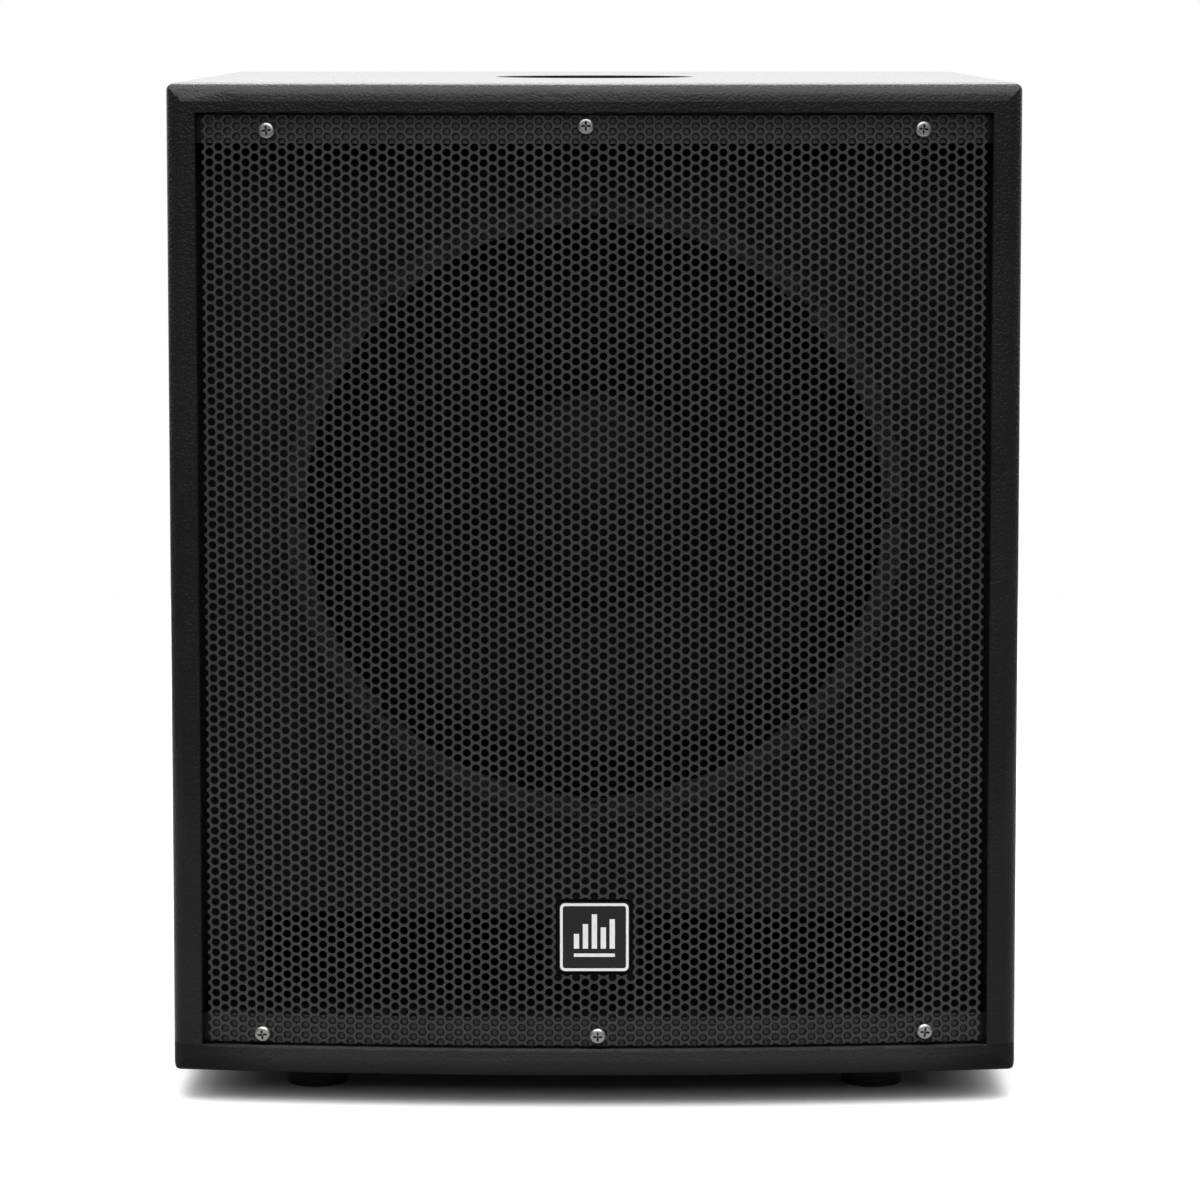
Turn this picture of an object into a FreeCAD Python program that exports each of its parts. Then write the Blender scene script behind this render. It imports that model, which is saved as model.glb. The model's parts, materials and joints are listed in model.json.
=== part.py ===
import FreeCAD, Part
import math
import os

from FreeCAD import Placement, Rotation, Vector

# Active 15-inch bass-reflex subwoofer cabinet. Millimetres. X is across, Y runs from the front (-Y)
# to the rear (+Y), +Z is up. The origin is the centre of the footprint, on the floor.

# ---- driving dimensions: the box ----
WIDTH = 512.0
HEIGHT = 600.0  # the box without its feet
DEPTH = 560.0  # middle of the bowed front to the rear edges
BOARD = 18.0  # plywood
BOW = 18.0  # how far the front edges stand out at the middle
EDGE_R = 6.0  # rounding of the outer edges
FRONT_EDGE_R = 11.0  # and of those round the front
INNER_EDGE_R = 1.5
REAR_RECESS = 30.0
CROSS_BRACE_Z = (190.0, 250.0)
PAD_THICK = 25.0  # wadding on the side boards
PAD_Y, PAD_Z = (112.0, 226.0), (150.0, 570.0)

FOOT_H = 18.0
FOOT_R = 20.0
FOOT_X = 172.0
FOOT_Y = (-205.0, 215.0)
FOOT_RECESS = 8.0  # depth and radius of the hollow for the screw
FOOT_SCREW_R = 2.4

POLE_R = 18.0
POLE_SOCKET_DEPTH = 77.0
POLE_TUBE_R = 22.0
POLE_FLANGE = 3.0
POLE_RECESS_R, POLE_RECESS = 64.0, 6.0
POLE_SCREWS_R = 50.0

HANDLE_Z = 390.0
HANDLE_POCKET = (92.0, 48.0, 62.0)  # half length, half height, depth
HANDLE_WALL = 3.0
HANDLE_FLANGE = 2.5
HANDLE_FLANGE_HALF = (115.0, 72.0)
GRIP_HALF_H, GRIP_DEPTH = 13.0, 26.0

# ---- driving dimensions: the front ----
GRILLE_SET_BACK = 6.0
GRILLE_THICK = 1.5
GRILLE_W = 469.0
GRILLE_H = 562.0
# each screw's x, and its height from the middle of its batten
GRILLE_SCREWS_TOP = ((-195.3, -1.2), (-5.0, 1.6), (196.1, -0.4))
GRILLE_SCREWS_BOTTOM = ((-201.5, -3.0), (2.0, -2.0), (200.5, -1.5))
BATTEN = 18.0
BATTEN_DEPTH = 24.5  # from the middle of its bowed face
BAFFLE_GAP = 68.5  # grille to baffle, at the middle

BADGE = 42.4
BADGE_WINDOW = 46.4
BADGE_ABOVE_UNDERSIDE = 86.0
BADGE_THICK = 2.8
BADGE_RELIEF = 0.3

PORT_HALF_W = 206.0
PORT_H = 70.0
PORT_POST = 22.0
PORT_LENGTH = 264.0
PORT_CORNER_R = 6.0

# ---- driving dimensions: the driver, as radii and as depths behind the face of its flange ----
DRIVER_ABOVE_UNDERSIDE = 338.0
FLANGE_R = 194.0
FLANGE_THICK = 6.0
BASKET_BODY_R = 175.0
SEAT_R = 178.0  # outer edge of the surround's lip
ROLLS_R = (149.0, 172.0)
BOLT_CIRCLE_R = 185.0
BOLTS = 8
BOLT_R = 2.5
TNUT_BARREL_R = 3.6
GASKET_R = (176.5, 189.5)
GASKET_THICK = 3.0
CONE_R = 144.0
CONE_THICK = 1.2
DUST_CAP_R = 68.0
DUST_CAP_RISE = 20.0
COIL_R = 38.5
NECK_DEPTH, SPIDER_DEPTH, PLATE_DEPTH = 73.0, 80.0, 99.0
PLATE_R, MAGNET_R = 90.0, 96.0
PLATE_THICK, MAGNET_THICK, YOKE_THICK = 10.0, 24.0, 10.0
TERMINAL_X = -104.0
CABLE_R = 3.5
CABLE_ROUTE = [
    (-121, -112, 356), (-134, -98, 352), (-140, -60, 336), (-141, -5, 318), (-137, 55, 306),
    (-122, 103, 300), (-104, 130, 298), (-96, 156, 298),
]

# ---- driving dimensions: the amplifier in the rear ----
AMP_HALF_W = 130.0
AMP_Z = (148.0, 488.0)
AMP_CUT = (112.0, 166.0, 470.0)  # half width, bottom, top of the hole in the back panel
AMP_PLATE = 3.0
AMP_SCREW_INSET = 8.0
TRAY_DEPTH = 100.0
TRAY_WALL = 1.5
BOARD_SET_IN = 24.0  # control board behind the plate
BOARD_THICK = 1.6
HEATSINK_HALF_W = 100.0
HEATSINK_Z = (345.0, 465.0)
FIN_H, FIN, FINS = 24.0, 2.4, 17
TRANSFORMER_R, TRANSFORMER_H = 50.0, 42.0
TRANSFORMER_X, TRANSFORMER_Z = -40.0, 400.0

CONTROL_Z = 300.0
KNOBS = {"level": 75.0, "crossover": 25.0}  # the X of each
KNOB_R, KNOB_H = 12.0, 15.0
SHAFT_R = 3.0
BUSH_R = 3.5
PHASE_X = -20.0
BUTTON_R = 4.0
BUTTON_ROOM = 0.4
LENS_X = (-60.0, -80.0)
LENS_R = 2.5
SOCKET_Z = 236.0
INPUT_X = (80.0, 40.0)
OUTPUT_X = (-10.0, -50.0)
SOCKET_R = 11.8
SOCKET_DEPTH = 14.0
JACK_R, JACK_DEPTH = 3.3, 22.0
PIN_CIRCLE_R = 5.4
INLET_X, INLET_Z = 62.0, 189.0
ROCKER_X, ROCKER_Z = 0.0, 189.0
ROCKER_TILT = 10.0
ROCKER_HALF_W, ROCKER_HALF_L = 5.5, 8.5
ROCKER_PIN_R = 1.2

# ---- fasteners and fits ----
CSK_HEAD_R, CSK_DEPTH, CSK_SHANK_R = 4.5, 2.4, 2.2
WOOD_SCREW_R = 2.0
SLIP = 0.1  # radial room round a screw or a barrel in its hole
RUNNING = 0.05  # radial room round a shaft that turns
OVERLAP = 0.01  # how far two halves of one piece reach into each other where they join

# ---- places that follow from them ----
FRONT_Y = -DEPTH / 2
REAR_Y = DEPTH / 2
UNDER_Z = FOOT_H
TOP_Z = FOOT_H + HEIGHT
FLOOR_Z = UNDER_Z + BOARD
CEILING_Z = TOP_Z - BOARD
INNER_X = WIDTH / 2 - BOARD
MID_Z = (UNDER_Z + TOP_Z) / 2
BOW_R = ((WIDTH / 2) ** 2 + BOW**2) / (2 * BOW)
BOW_CENTRE_Y = FRONT_Y + BOW_R
BAFFLE_Y = FRONT_Y + GRILLE_SET_BACK + GRILLE_THICK + BAFFLE_GAP
BAFFLE_BACK_Y = BAFFLE_Y + BOARD
BACK_Y = REAR_Y - REAR_RECESS
BACK_INSIDE_Y = BACK_Y - BOARD
SHELF_Z = FLOOR_Z + PORT_H
PORT_END_Y = BAFFLE_Y + PORT_LENGTH
POLE_SEAT_Z = TOP_Z - POLE_RECESS
POLE_FLANGE_Z = POLE_SEAT_Z + POLE_FLANGE
HANDLE_FACE_X = -WIDTH / 2 - HANDLE_FLANGE
BADGE_Z = UNDER_Z + BADGE_ABOVE_UNDERSIDE
BADGE_SEAT_Y = FRONT_Y + GRILLE_SET_BACK + GRILLE_THICK + BADGE_RELIEF
BADGE_FACE_Y = BADGE_SEAT_Y - BADGE_THICK
DRIVER_Z = UNDER_Z + DRIVER_ABOVE_UNDERSIDE
FLANGE_FACE_Y = BAFFLE_Y - FLANGE_THICK
NECK_Y = FLANGE_FACE_Y + NECK_DEPTH
SPIDER_Y = FLANGE_FACE_Y + SPIDER_DEPTH
TERMINAL_Y = SPIDER_Y + 4
PLATE_Y = FLANGE_FACE_Y + PLATE_DEPTH
PLATE_FACE_Y = BACK_Y + AMP_PLATE
TRAY_Y = BACK_Y - TRAY_DEPTH
BOARD_Y = BACK_Y - BOARD_SET_IN
BOARD_FACE_Y = BOARD_Y + BOARD_THICK
SOCKET_FACE_Y = PLATE_FACE_Y + 2

X_AXIS = Vector(1, 0, 0)
Y_AXIS = Vector(0, 1, 0)
Z_AXIS = Vector(0, 0, 1)


# ---- shapes used all over ----
def box(x, y, z):
    """A block from three (low, high) pairs."""
    size = [high - low for low, high in (x, y, z)]
    return Part.makeBox(*size, Vector(x[0], y[0], z[0]))


def rounded_box(x, y, z, along, radius):
    """A block whose four edges parallel to `along` are rounded."""
    block = box(x, y, z)
    edges = [e for e in block.Edges if abs(e.tangentAt(e.FirstParameter).dot(along)) > 0.99]
    return block.makeFillet(radius, edges)


def span(middle, half):
    """A (low, high) pair about a middle."""
    return (middle - half, middle + half)


def up(z):
    return Vector(0, 0, z)


def rod(radius, start, end):
    """A cylinder from one point to another."""
    return Part.makeCylinder(radius, (end - start).Length, start, end - start)


def rear_rod(radius, x, z, y):
    """A cylinder along Y at (x, z), over a (low, high) pair of Y."""
    return rod(radius, Vector(x, y[0], z), Vector(x, y[1], z))


def prism(corners, direction):
    """A straight-sided solid: a flat outline pushed along a direction."""
    outline = Part.makePolygon(corners + corners[:1])
    return Part.Face(outline).extrude(direction)


def placed(shape, point, direction):
    """A copy of a shape made along +Z, turned to face a direction and moved to a point."""
    copy = shape.copy()
    copy.Placement = Placement(point, Rotation(Z_AXIS, direction))
    return copy


def mirrored(shape):
    """The other side's copy, across the cabinet's middle plane."""
    return shape.mirror(Vector(0, 0, 0), X_AXIS)


def group(solids):
    return Part.makeCompound(solids)


def on_circle(radius, angle_deg, y):
    """A point on a circle about the driver's axis, from +X towards +Z."""
    angle = math.radians(angle_deg)
    return Vector(radius * math.cos(angle), y, DRIVER_Z + radius * math.sin(angle))


def bolt_angles():
    return [360 / BOLTS * i for i in range(BOLTS)]


def bow_y(x, set_back):
    """The Y of a curve that keeps its distance behind the bowed front."""
    return BOW_CENTRE_Y - math.sqrt((BOW_R - set_back) ** 2 - x * x)


def bow_arc(half_width, set_back, z):
    ends = [Vector(x, bow_y(x, set_back), z) for x in (-half_width, 0, half_width)]
    return Part.Arc(*ends).toShape()


def bowed_block(half_width, set_back, back_y, z):
    """A block with a bowed front and a flat back."""
    left, right = Vector(-half_width, back_y, z[0]), Vector(half_width, back_y, z[0])
    front = bow_arc(half_width, set_back, z[0])
    start, end = (Vector(x, bow_y(x, set_back), z[0]) for x in (-half_width, half_width))
    edges = [front, Part.makeLine(end, right), Part.makeLine(right, left), Part.makeLine(left, start)]
    return Part.Face(Part.Wire(edges)).extrude(up(z[1] - z[0]))


def bowed_sheet(half_width, set_back, thick, z):
    """A sheet of even thickness that follows the bowed front."""
    return bowed_block(half_width, set_back, 0, z).cut(bowed_block(half_width + 1, set_back + thick, 1, z))


def facing_out(x):
    """The direction in which the bowed front faces at x."""
    return Vector(x, bow_y(x, 0) - BOW_CENTRE_Y, 0).normalize()


# ---- fasteners, made along +Z with the seat of the head at z = 0 ----
def cross(arm, half_width, z):
    """The two slots of a cross recess."""
    long, short = span(0, arm), span(0, half_width)
    return [box(long, short, z), box(short, long, z)]


def pan_screw(head_r, head_h, shank_r, length):
    head = Part.makeCylinder(head_r, head_h)
    rim = [e for e in head.Edges if e.BoundBox.ZMin > head_h - 0.01]
    head = head.makeFillet(head_h * 0.7, rim)
    recess = cross(head_r * 0.55, head_r * 0.12, (head_h * 0.4, head_h + 1))
    shank = rod(shank_r, up(-length), up(OVERLAP))
    return head.fuse(shank).cut(recess).removeSplitter()


def countersunk_shape(room, length):
    shank_r = CSK_SHANK_R + room
    head = Part.makeCone(shank_r, CSK_HEAD_R + room, CSK_DEPTH, up(-CSK_DEPTH))
    return head.fuse(rod(shank_r, up(-length), up(-CSK_DEPTH + OVERLAP)))


def countersunk_screw(length):
    """The flat of the head lies at z = 0."""
    return countersunk_shape(0, length).cut(cross(2.4, 0.5, (-1.5, 1))).removeSplitter()


def countersunk_hole(length):
    return countersunk_shape(SLIP, length)


# ---- cabinet boards ----
def cabinet_shell():
    """The four outer boards as one ring, rounded outside, with its front edges bowed."""
    block = bowed_block(WIDTH / 2, 0, REAR_Y, (UNDER_Z, TOP_Z))
    front = [e for e in block.Edges if e.BoundBox.YMax < FRONT_Y + BOW + 1]
    others = [e for e in block.Edges if e.BoundBox.YMax > FRONT_Y + BOW + 1]
    block = block.makeFillet(FRONT_EDGE_R, front).common(block.makeFillet(EDGE_R, others))
    hollow = box((-INNER_X, INNER_X), (FRONT_Y - 5, REAR_Y + 5), (FLOOR_Z, CEILING_Z))
    shell = block.cut(hollow)
    mouth = [e for e in shell.Edges if is_mouth_edge(e)]
    return shell.makeFillet(INNER_EDGE_R, mouth)


def is_mouth_edge(edge):
    """True for the inner edges of the front and rear mouths of the shell."""
    b = edge.BoundBox
    inside = max(abs(b.XMin), abs(b.XMax)) < INNER_X + 0.1
    inside = inside and b.ZMin > FLOOR_Z - 0.1 and b.ZMax < CEILING_Z + 0.1
    return inside and (b.YMax < FRONT_Y + BOW + 1 or b.YMin > REAR_Y - 1)


def foot_places():
    return [Vector(x, y, 0) for y in FOOT_Y for x in (-FOOT_X, FOOT_X)]


def pole_screw_places(z):
    angles = [math.radians(45 + 90 * i) for i in range(4)]
    return [Vector(POLE_SCREWS_R * math.cos(a), POLE_SCREWS_R * math.sin(a), z) for a in angles]


def outer_boards():
    shell = cabinet_shell()
    wide = (-WIDTH, WIDTH)
    long = (-DEPTH, DEPTH)
    top = shell.common(box(wide, long, (CEILING_Z, TOP_Z + 5)))
    bottom = shell.common(box(wide, long, (UNDER_Z - 5, FLOOR_Z)))
    left = shell.common(box((-WIDTH, -INNER_X), long, (FLOOR_Z, CEILING_Z)))

    tools = [
        rod(POLE_RECESS_R, up(POLE_SEAT_Z), up(TOP_Z + 5)),
        rod(POLE_TUBE_R + SLIP, up(CEILING_Z - 5), up(TOP_Z)),
    ]
    tools += [placed(countersunk_hole(14.5), p, Z_AXIS) for p in pole_screw_places(POLE_FLANGE_Z)]
    top = top.cut(tools)

    pilot_r = FOOT_SCREW_R + SLIP
    pilots = [rod(pilot_r, p + up(UNDER_Z - 1), p + up(FLOOR_Z - 3.5)) for p in foot_places()]
    bottom = bottom.cut(pilots)

    half_y, half_z, _ = HANDLE_POCKET
    wall = HANDLE_WALL + 1
    hole_x, hole_z = (-WIDTH, -INNER_X + 5), span(HANDLE_Z, half_z + wall)
    hole = rounded_box(hole_x, span(0, half_y + wall), hole_z, X_AXIS, 12)
    screws = [placed(countersunk_hole(20.5), p, -X_AXIS) for p in handle_screw_places()]
    left = left.cut([hole] + screws)
    return {
        "top_panel": top,
        "bottom_panel": bottom,
        "left_side_panel": left,
        "right_side_panel": mirrored(left),
    }


def amp_screw_places():
    z_low, z_high = AMP_Z[0] + AMP_SCREW_INSET, AMP_Z[1] - AMP_SCREW_INSET
    rows = [z_low + (z_high - z_low) * i / 4 for i in range(5)]
    columns = span(0, AMP_HALF_W - AMP_SCREW_INSET)
    return [Vector(x, PLATE_FACE_Y, z) for z in rows for x in columns]


def inner_boards():
    inner_z = (FLOOR_Z, CEILING_Z)
    back = box((-INNER_X, INNER_X), (BACK_INSIDE_Y, BACK_Y), inner_z)
    half_w, z_low, z_high = AMP_CUT
    opening = rounded_box(span(0, half_w), (BACK_INSIDE_Y - 1, BACK_Y + 1), (z_low, z_high), Y_AXIS, 4)
    pilots = [rod(WOOD_SCREW_R + SLIP, p, p - Y_AXIS * 15.5) for p in amp_screw_places()]
    back = back.cut([opening] + pilots)

    baffle = box((-INNER_X, INNER_X), (BAFFLE_Y, BAFFLE_BACK_Y), inner_z)
    through = (BAFFLE_Y - 1, BAFFLE_BACK_Y + 1)
    centre = Vector(0, BAFFLE_Y - 1, DRIVER_Z)
    tools = [rod(BASKET_BODY_R + 1, centre, centre + Y_AXIS * (BOARD + 2))]
    for side in (-1, 1):
        x = sorted((side * PORT_POST / 2, side * PORT_HALF_W))
        slot = box(x, through, (FLOOR_Z - 5, SHELF_Z))
        corners = [e for e in slot.Edges if e.BoundBox.ZMin > SHELF_Z - 1 and e.BoundBox.YLength > BOARD]
        tools.append(slot.makeFillet(PORT_CORNER_R, corners))
    for angle in bolt_angles():
        front = on_circle(BOLT_CIRCLE_R, angle, BAFFLE_Y - 1)
        tools.append(rod(TNUT_BARREL_R + SLIP, front, front + Y_AXIS * (BOARD + 2)))
    baffle = baffle.cut(tools)

    return {
        "back_panel": back,
        "front_baffle": baffle,
        "port_shelf": box((-INNER_X, INNER_X), (BAFFLE_BACK_Y, PORT_END_Y), (SHELF_Z, SHELF_Z + BOARD)),
        "port_brace": box(span(0, BOARD / 2), (BAFFLE_BACK_Y, PORT_END_Y), (FLOOR_Z, SHELF_Z)),
        "cross_brace": box((-INNER_X, INNER_X), (0, BOARD), CROSS_BRACE_Z),
    }


def damping_pads():
    """Wadding glued to the inside of each side board, behind the handles."""
    pad = rounded_box((-INNER_X, -INNER_X + PAD_THICK), PAD_Y, PAD_Z, X_AXIS, 15)
    return {"damping_pads": group([pad, mirrored(pad)])}


# ---- grille and badge ----
def grille_screw_places():
    """Each screw's seat on the face of the grille."""
    top = [(x, CEILING_Z - BATTEN / 2 + rise) for x, rise in GRILLE_SCREWS_TOP]
    bottom = [(x, FLOOR_Z + BATTEN / 2 + rise) for x, rise in GRILLE_SCREWS_BOTTOM]
    return [Vector(x, bow_y(x, GRILLE_SET_BACK), z) for x, z in top + bottom]


def square(half, y, corner_r):
    """A square block about the badge's centre with rounded corners."""
    return rounded_box(span(0, half), y, span(BADGE_Z, half), Y_AXIS, corner_r)


def grille_parts():
    half_w = GRILLE_W / 2
    sheet = bowed_sheet(half_w, GRILLE_SET_BACK, GRILLE_THICK, span(MID_Z, GRILLE_H / 2))
    screws = [(p, facing_out(p.x)) for p in grille_screw_places()]
    tools = [square(BADGE_WINDOW / 2, (FRONT_Y - 5, FRONT_Y + 30), 4)]
    tools += [rod(2.3, p + out * 5, p - out * 5) for p, out in screws]
    sheet = sheet.cut(tools)

    seat = GRILLE_SET_BACK + GRILLE_THICK
    back_y = FRONT_Y + seat + BATTEN_DEPTH
    pilots = [rod(WOOD_SCREW_R + SLIP, p, p - out * 17) for p, out in screws]
    top = bowed_block(INNER_X, seat, back_y, (CEILING_Z - BATTEN, CEILING_Z)).cut(pilots)
    bottom = bowed_block(INNER_X, seat, back_y, (FLOOR_Z, FLOOR_Z + BATTEN)).cut(pilots)
    screw = pan_screw(5, 2.6, WOOD_SCREW_R, 16)
    return {
        "grille": sheet,
        "grille_batten_top": top,
        "grille_batten_bottom": bottom,
        "grille_screws": group([placed(screw, p, out) for p, out in screws]),
    }


def badge_parts():
    """A generic badge: a raised rim, five bars of a level meter and a line under them."""
    half = BADGE / 2
    raised = (BADGE_FACE_Y - BADGE_RELIEF, BADGE_FACE_Y)
    rim = square(half - 0.5, raised, 3).cut(square(half - 2.1, (raised[0] - 1, raised[1] + 1), 1.6))
    bar_w, pitch, base_z = 3.2, 5.4, BADGE_Z - 7
    marks = [rim]
    for i, height in enumerate((9, 15, 21, 13, 18)):
        marks.append(box(span((i - 2) * pitch, bar_w / 2), raised, (base_z, base_z + height)))
    line_x = 2 * pitch + bar_w / 2
    marks.append(box(span(0, line_x), raised, (base_z - 5, base_z - 3)))
    return {
        "badge_plate": square(half, (BADGE_FACE_Y, BADGE_SEAT_Y), 3),
        "badge_mark": group(marks),
        "badge_retainer": square(27, (BADGE_SEAT_Y, BADGE_SEAT_Y + 1), 4),
    }


# ---- driver, on an axis along Y at DRIVER_Z ----
def turned(points):
    """A solid turned about the driver's axis from (radius, y) corners."""
    corners = [Vector(r, y, DRIVER_Z) for r, y in points]
    face = Part.Face(Part.makePolygon(corners + corners[:1]))
    return face.revolve(Vector(0, 0, DRIVER_Z), Y_AXIS, 360)


def tube(radii, y):
    """A ring about the driver's axis, from its (inner, outer) radii and its (front, back) Y."""
    (inner, outer), (front, back) = radii, y
    return turned([(inner, front), (outer, front), (outer, back), (inner, back)])


def turned_wire(edges):
    wire = Part.Wire(Part.__sortEdges__(edges))
    return Part.Face(wire).revolve(Vector(0, 0, DRIVER_Z), Y_AXIS, 360)


def flat_line(a, b):
    return Part.makeLine(Vector(a[0], a[1], DRIVER_Z), Vector(b[0], b[1], DRIVER_Z))


def flat_arc(a, b, c):
    return Part.Arc(*(Vector(r, y, DRIVER_Z) for r, y in (a, b, c))).toShape()


def rolled_ring(radii, y, thick, rolls, height):
    """A corrugated ring: a flat lip, half-rolls to alternate sides, and another flat lip."""
    r_in, lip_in, lip_out, r_out = radii
    step = (lip_out - lip_in) / rolls
    edges = []
    for face_y in (y, y + thick):
        edges.append(flat_line((r_in, face_y), (lip_in, face_y)))
        for i in range(rolls):
            a = lip_in + i * step
            crest = face_y - height if i % 2 == 0 else face_y + height
            edges.append(flat_arc((a, face_y), (a + step / 2, crest), (a + step, face_y)))
        edges.append(flat_line((lip_out, face_y), (r_out, face_y)))
    edges.append(flat_line((r_in, y), (r_in, y + thick)))
    edges.append(flat_line((r_out, y), (r_out, y + thick)))
    return turned_wire(edges)


def basket():
    face, seat = FLANGE_FACE_Y, FLANGE_FACE_Y + 1
    ledge, foot = SPIDER_Y, PLATE_Y
    rim = [(FLANGE_R, BAFFLE_Y), (FLANGE_R, face), (SEAT_R, face), (SEAT_R, seat), (ROLLS_R[1], seat)]
    inside = [(ROLLS_R[1] - 1, face + 13), (110, ledge - 4), (94, ledge - 4), (94, ledge)]
    neck = [(84, ledge), (84, foot - 4), (60, foot - 4), (60, foot), (88, foot), (88, ledge + 4)]
    outside = [(112, ledge + 4), (BASKET_BODY_R, face + 18), (BASKET_BODY_R, BAFFLE_Y)]
    frame = turned(rim + inside + neck + outside)
    windows = []
    for middle in bolt_angles():
        middle += 180 / BOLTS
        window = ((114, -15), (166, -16), (166, 16), (114, 15))
        corners = [on_circle(r, middle + a, face + 10) for r, a in window]
        windows.append(prism(corners, Y_AXIS * 80))
    starts = [on_circle(BOLT_CIRCLE_R, a, face - 1) for a in bolt_angles()]
    holes = [rod(BOLT_R + SLIP, p, p + Y_AXIS * (FLANGE_THICK + 2)) for p in starts]
    return frame.cut(windows + holes)


def gasket():
    """Cork segments on the flange, with gaps at the bolts."""
    inner_r, outer_r = GASKET_R
    front, seat = FLANGE_FACE_Y - GASKET_THICK, FLANGE_FACE_Y
    ring = tube(GASKET_R, (front, seat))
    gaps = []
    for angle in bolt_angles():
        gap = box((inner_r - 10, outer_r + 10), (front - 2, seat + 2), (-8, 8))
        gap.rotate(Vector(0, 0, 0), Y_AXIS, angle)
        gap.translate(Vector(0, 0, DRIVER_Z))
        gaps.append(gap)
    return ring.cut(gaps)


def driver_fasteners():
    bolt_head = Part.makeCylinder(4.3, 5)
    bolt_head = bolt_head.makeFillet(0.5, [e for e in bolt_head.Edges if e.BoundBox.ZMin > 4.9])
    corners = [math.radians(60 * i) for i in range(6)]
    socket = prism([Vector(2.3 * math.cos(a), 2.3 * math.sin(a), 2.5) for a in corners], up(3))
    bolt = bolt_head.fuse(rod(BOLT_R, up(-30), up(OVERLAP))).cut(socket).removeSplitter()
    tnut = Part.makeCylinder(TNUT_BARREL_R, 12).fuse(rod(9.5, up(-1.5), up(0)))
    tnut = tnut.cut(rod(BOLT_R + SLIP, up(-4), up(16))).removeSplitter()
    fronts = [on_circle(BOLT_CIRCLE_R, a, FLANGE_FACE_Y) for a in bolt_angles()]
    backs = [on_circle(BOLT_CIRCLE_R, a, BAFFLE_BACK_Y) for a in bolt_angles()]
    return {
        "driver_bolts": group([placed(bolt, p, -Y_AXIS) for p in fronts]),
        "driver_tnuts": group([placed(tnut, p, -Y_AXIS) for p in backs]),
    }


def cone_profile():
    """The front of the cone: its rim, a point half-way that makes it flare, and its neck."""
    rim = (CONE_R, FLANGE_FACE_Y + 1)
    neck = (COIL_R + SLIP, NECK_Y)
    middle = ((rim[0] + neck[0]) / 2, (rim[1] + neck[1]) / 2 - 6)
    return rim, middle, neck


def cone_y(radius):
    """The Y of the cone's front at a radius, on the circle through its profile's three points."""
    circle = flat_arc(*cone_profile()).Curve
    side = math.copysign(1, cone_profile()[1][1] - circle.Center.y)
    return circle.Center.y + side * math.sqrt(circle.Radius**2 - (radius - circle.Center.x) ** 2)


def cone():
    back = [(r, y + CONE_THICK) for r, y in cone_profile()]
    rim, _, neck = cone_profile()
    lip = (ROLLS_R[0], rim[1])
    edges = [
        flat_line(lip, rim),
        flat_arc(*cone_profile()),
        flat_line(neck, back[2]),
        flat_arc(*reversed(back)),
        flat_line(back[0], (lip[0], lip[1] + CONE_THICK)),
        flat_line((lip[0], lip[1] + CONE_THICK), lip),
    ]
    return turned_wire(edges)


def dust_cap():
    """A domed cap whose rim stands on the cone."""
    foot, reach = cone_y(DUST_CAP_R), DUST_CAP_R + 10
    dome_r = (DUST_CAP_R**2 + DUST_CAP_RISE**2) / (2 * DUST_CAP_RISE)
    centre = Vector(0, foot - DUST_CAP_RISE + dome_r, DRIVER_Z)
    shell = Part.makeSphere(dome_r, centre).cut(Part.makeSphere(dome_r - 1, centre))
    return shell.common(box(span(0, reach), (foot - reach, foot), span(DRIVER_Z, reach)))


def motor():
    plate_back = PLATE_Y + PLATE_THICK
    magnet_back = plate_back + MAGNET_THICK
    yoke_back = magnet_back + YOKE_THICK
    vent_r, pole_piece_r = 9, COIL_R - 1.5
    post = [(vent_r, PLATE_Y), (pole_piece_r, PLATE_Y), (pole_piece_r, magnet_back)]
    disc = [(PLATE_R, magnet_back), (PLATE_R, yoke_back), (vent_r, yoke_back)]
    coil_mid, wound_r = PLATE_Y + PLATE_THICK / 2, COIL_R + 1.4
    return {
        "magnet_front_plate": tube((wound_r + 0.9, PLATE_R), (PLATE_Y, plate_back)),
        "magnet_ring": tube((52, MAGNET_R), (plate_back, magnet_back)),
        "magnet_yoke": turned(post + disc),
        "voice_coil_former": tube((COIL_R - 0.5, COIL_R), (NECK_Y - 4, coil_mid + 14)),
        "voice_coil": tube((COIL_R, wound_r), span(coil_mid, 12)),
    }


def terminals():
    """A board of two tab terminals on the rear of the basket's ring, at -X."""
    board_x, tab_x = (TERMINAL_X - 7, TERMINAL_X + 9), (TERMINAL_X - 16, TERMINAL_X - 6.9)
    board = box(board_x, (TERMINAL_Y, TERMINAL_Y + 10), span(DRIVER_Z, 16))
    tabs = [box(tab_x, (TERMINAL_Y + 4, TERMINAL_Y + 4.8), span(z, 3.2)) for z in span(DRIVER_Z, 9)]
    return board.fuse(tabs).removeSplitter()


def cable(points, radius):
    """A round cable along straight runs joined by tangent arcs."""
    route = [Vector(*p) for p in points]
    edges, last = [], route[0]
    for before, corner, after in zip(route, route[1:], route[2:]):
        into, out = (corner - before).normalize(), (after - corner).normalize()
        trim = 0.45 * min((corner - before).Length, (after - corner).Length)
        start, end = corner - into * trim, corner + out * trim
        half_turn = into.getAngle(out) / 2
        bend_r = trim / math.tan(half_turn)
        inward = (out - into).normalize()
        middle = corner + inward * (bend_r / math.cos(half_turn) - bend_r)
        edges.append(Part.makeLine(last, start))
        edges.append(Part.Arc(start, middle, end).toShape())
        last = end
        print(f"cable bend radius {bend_r:.0f} mm")
    edges.append(Part.makeLine(last, route[-1]))
    path = Part.Wire(edges)
    ring = Part.Wire(Part.makeCircle(radius, route[0], route[1] - route[0]))
    sheath = path.makePipeShell([ring], True, True)
    plain_volume = math.pi * radius**2 * path.Length
    print(f"cable volume over section times length: {sheath.Volume / plain_volume:.4f}")
    return sheath


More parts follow.
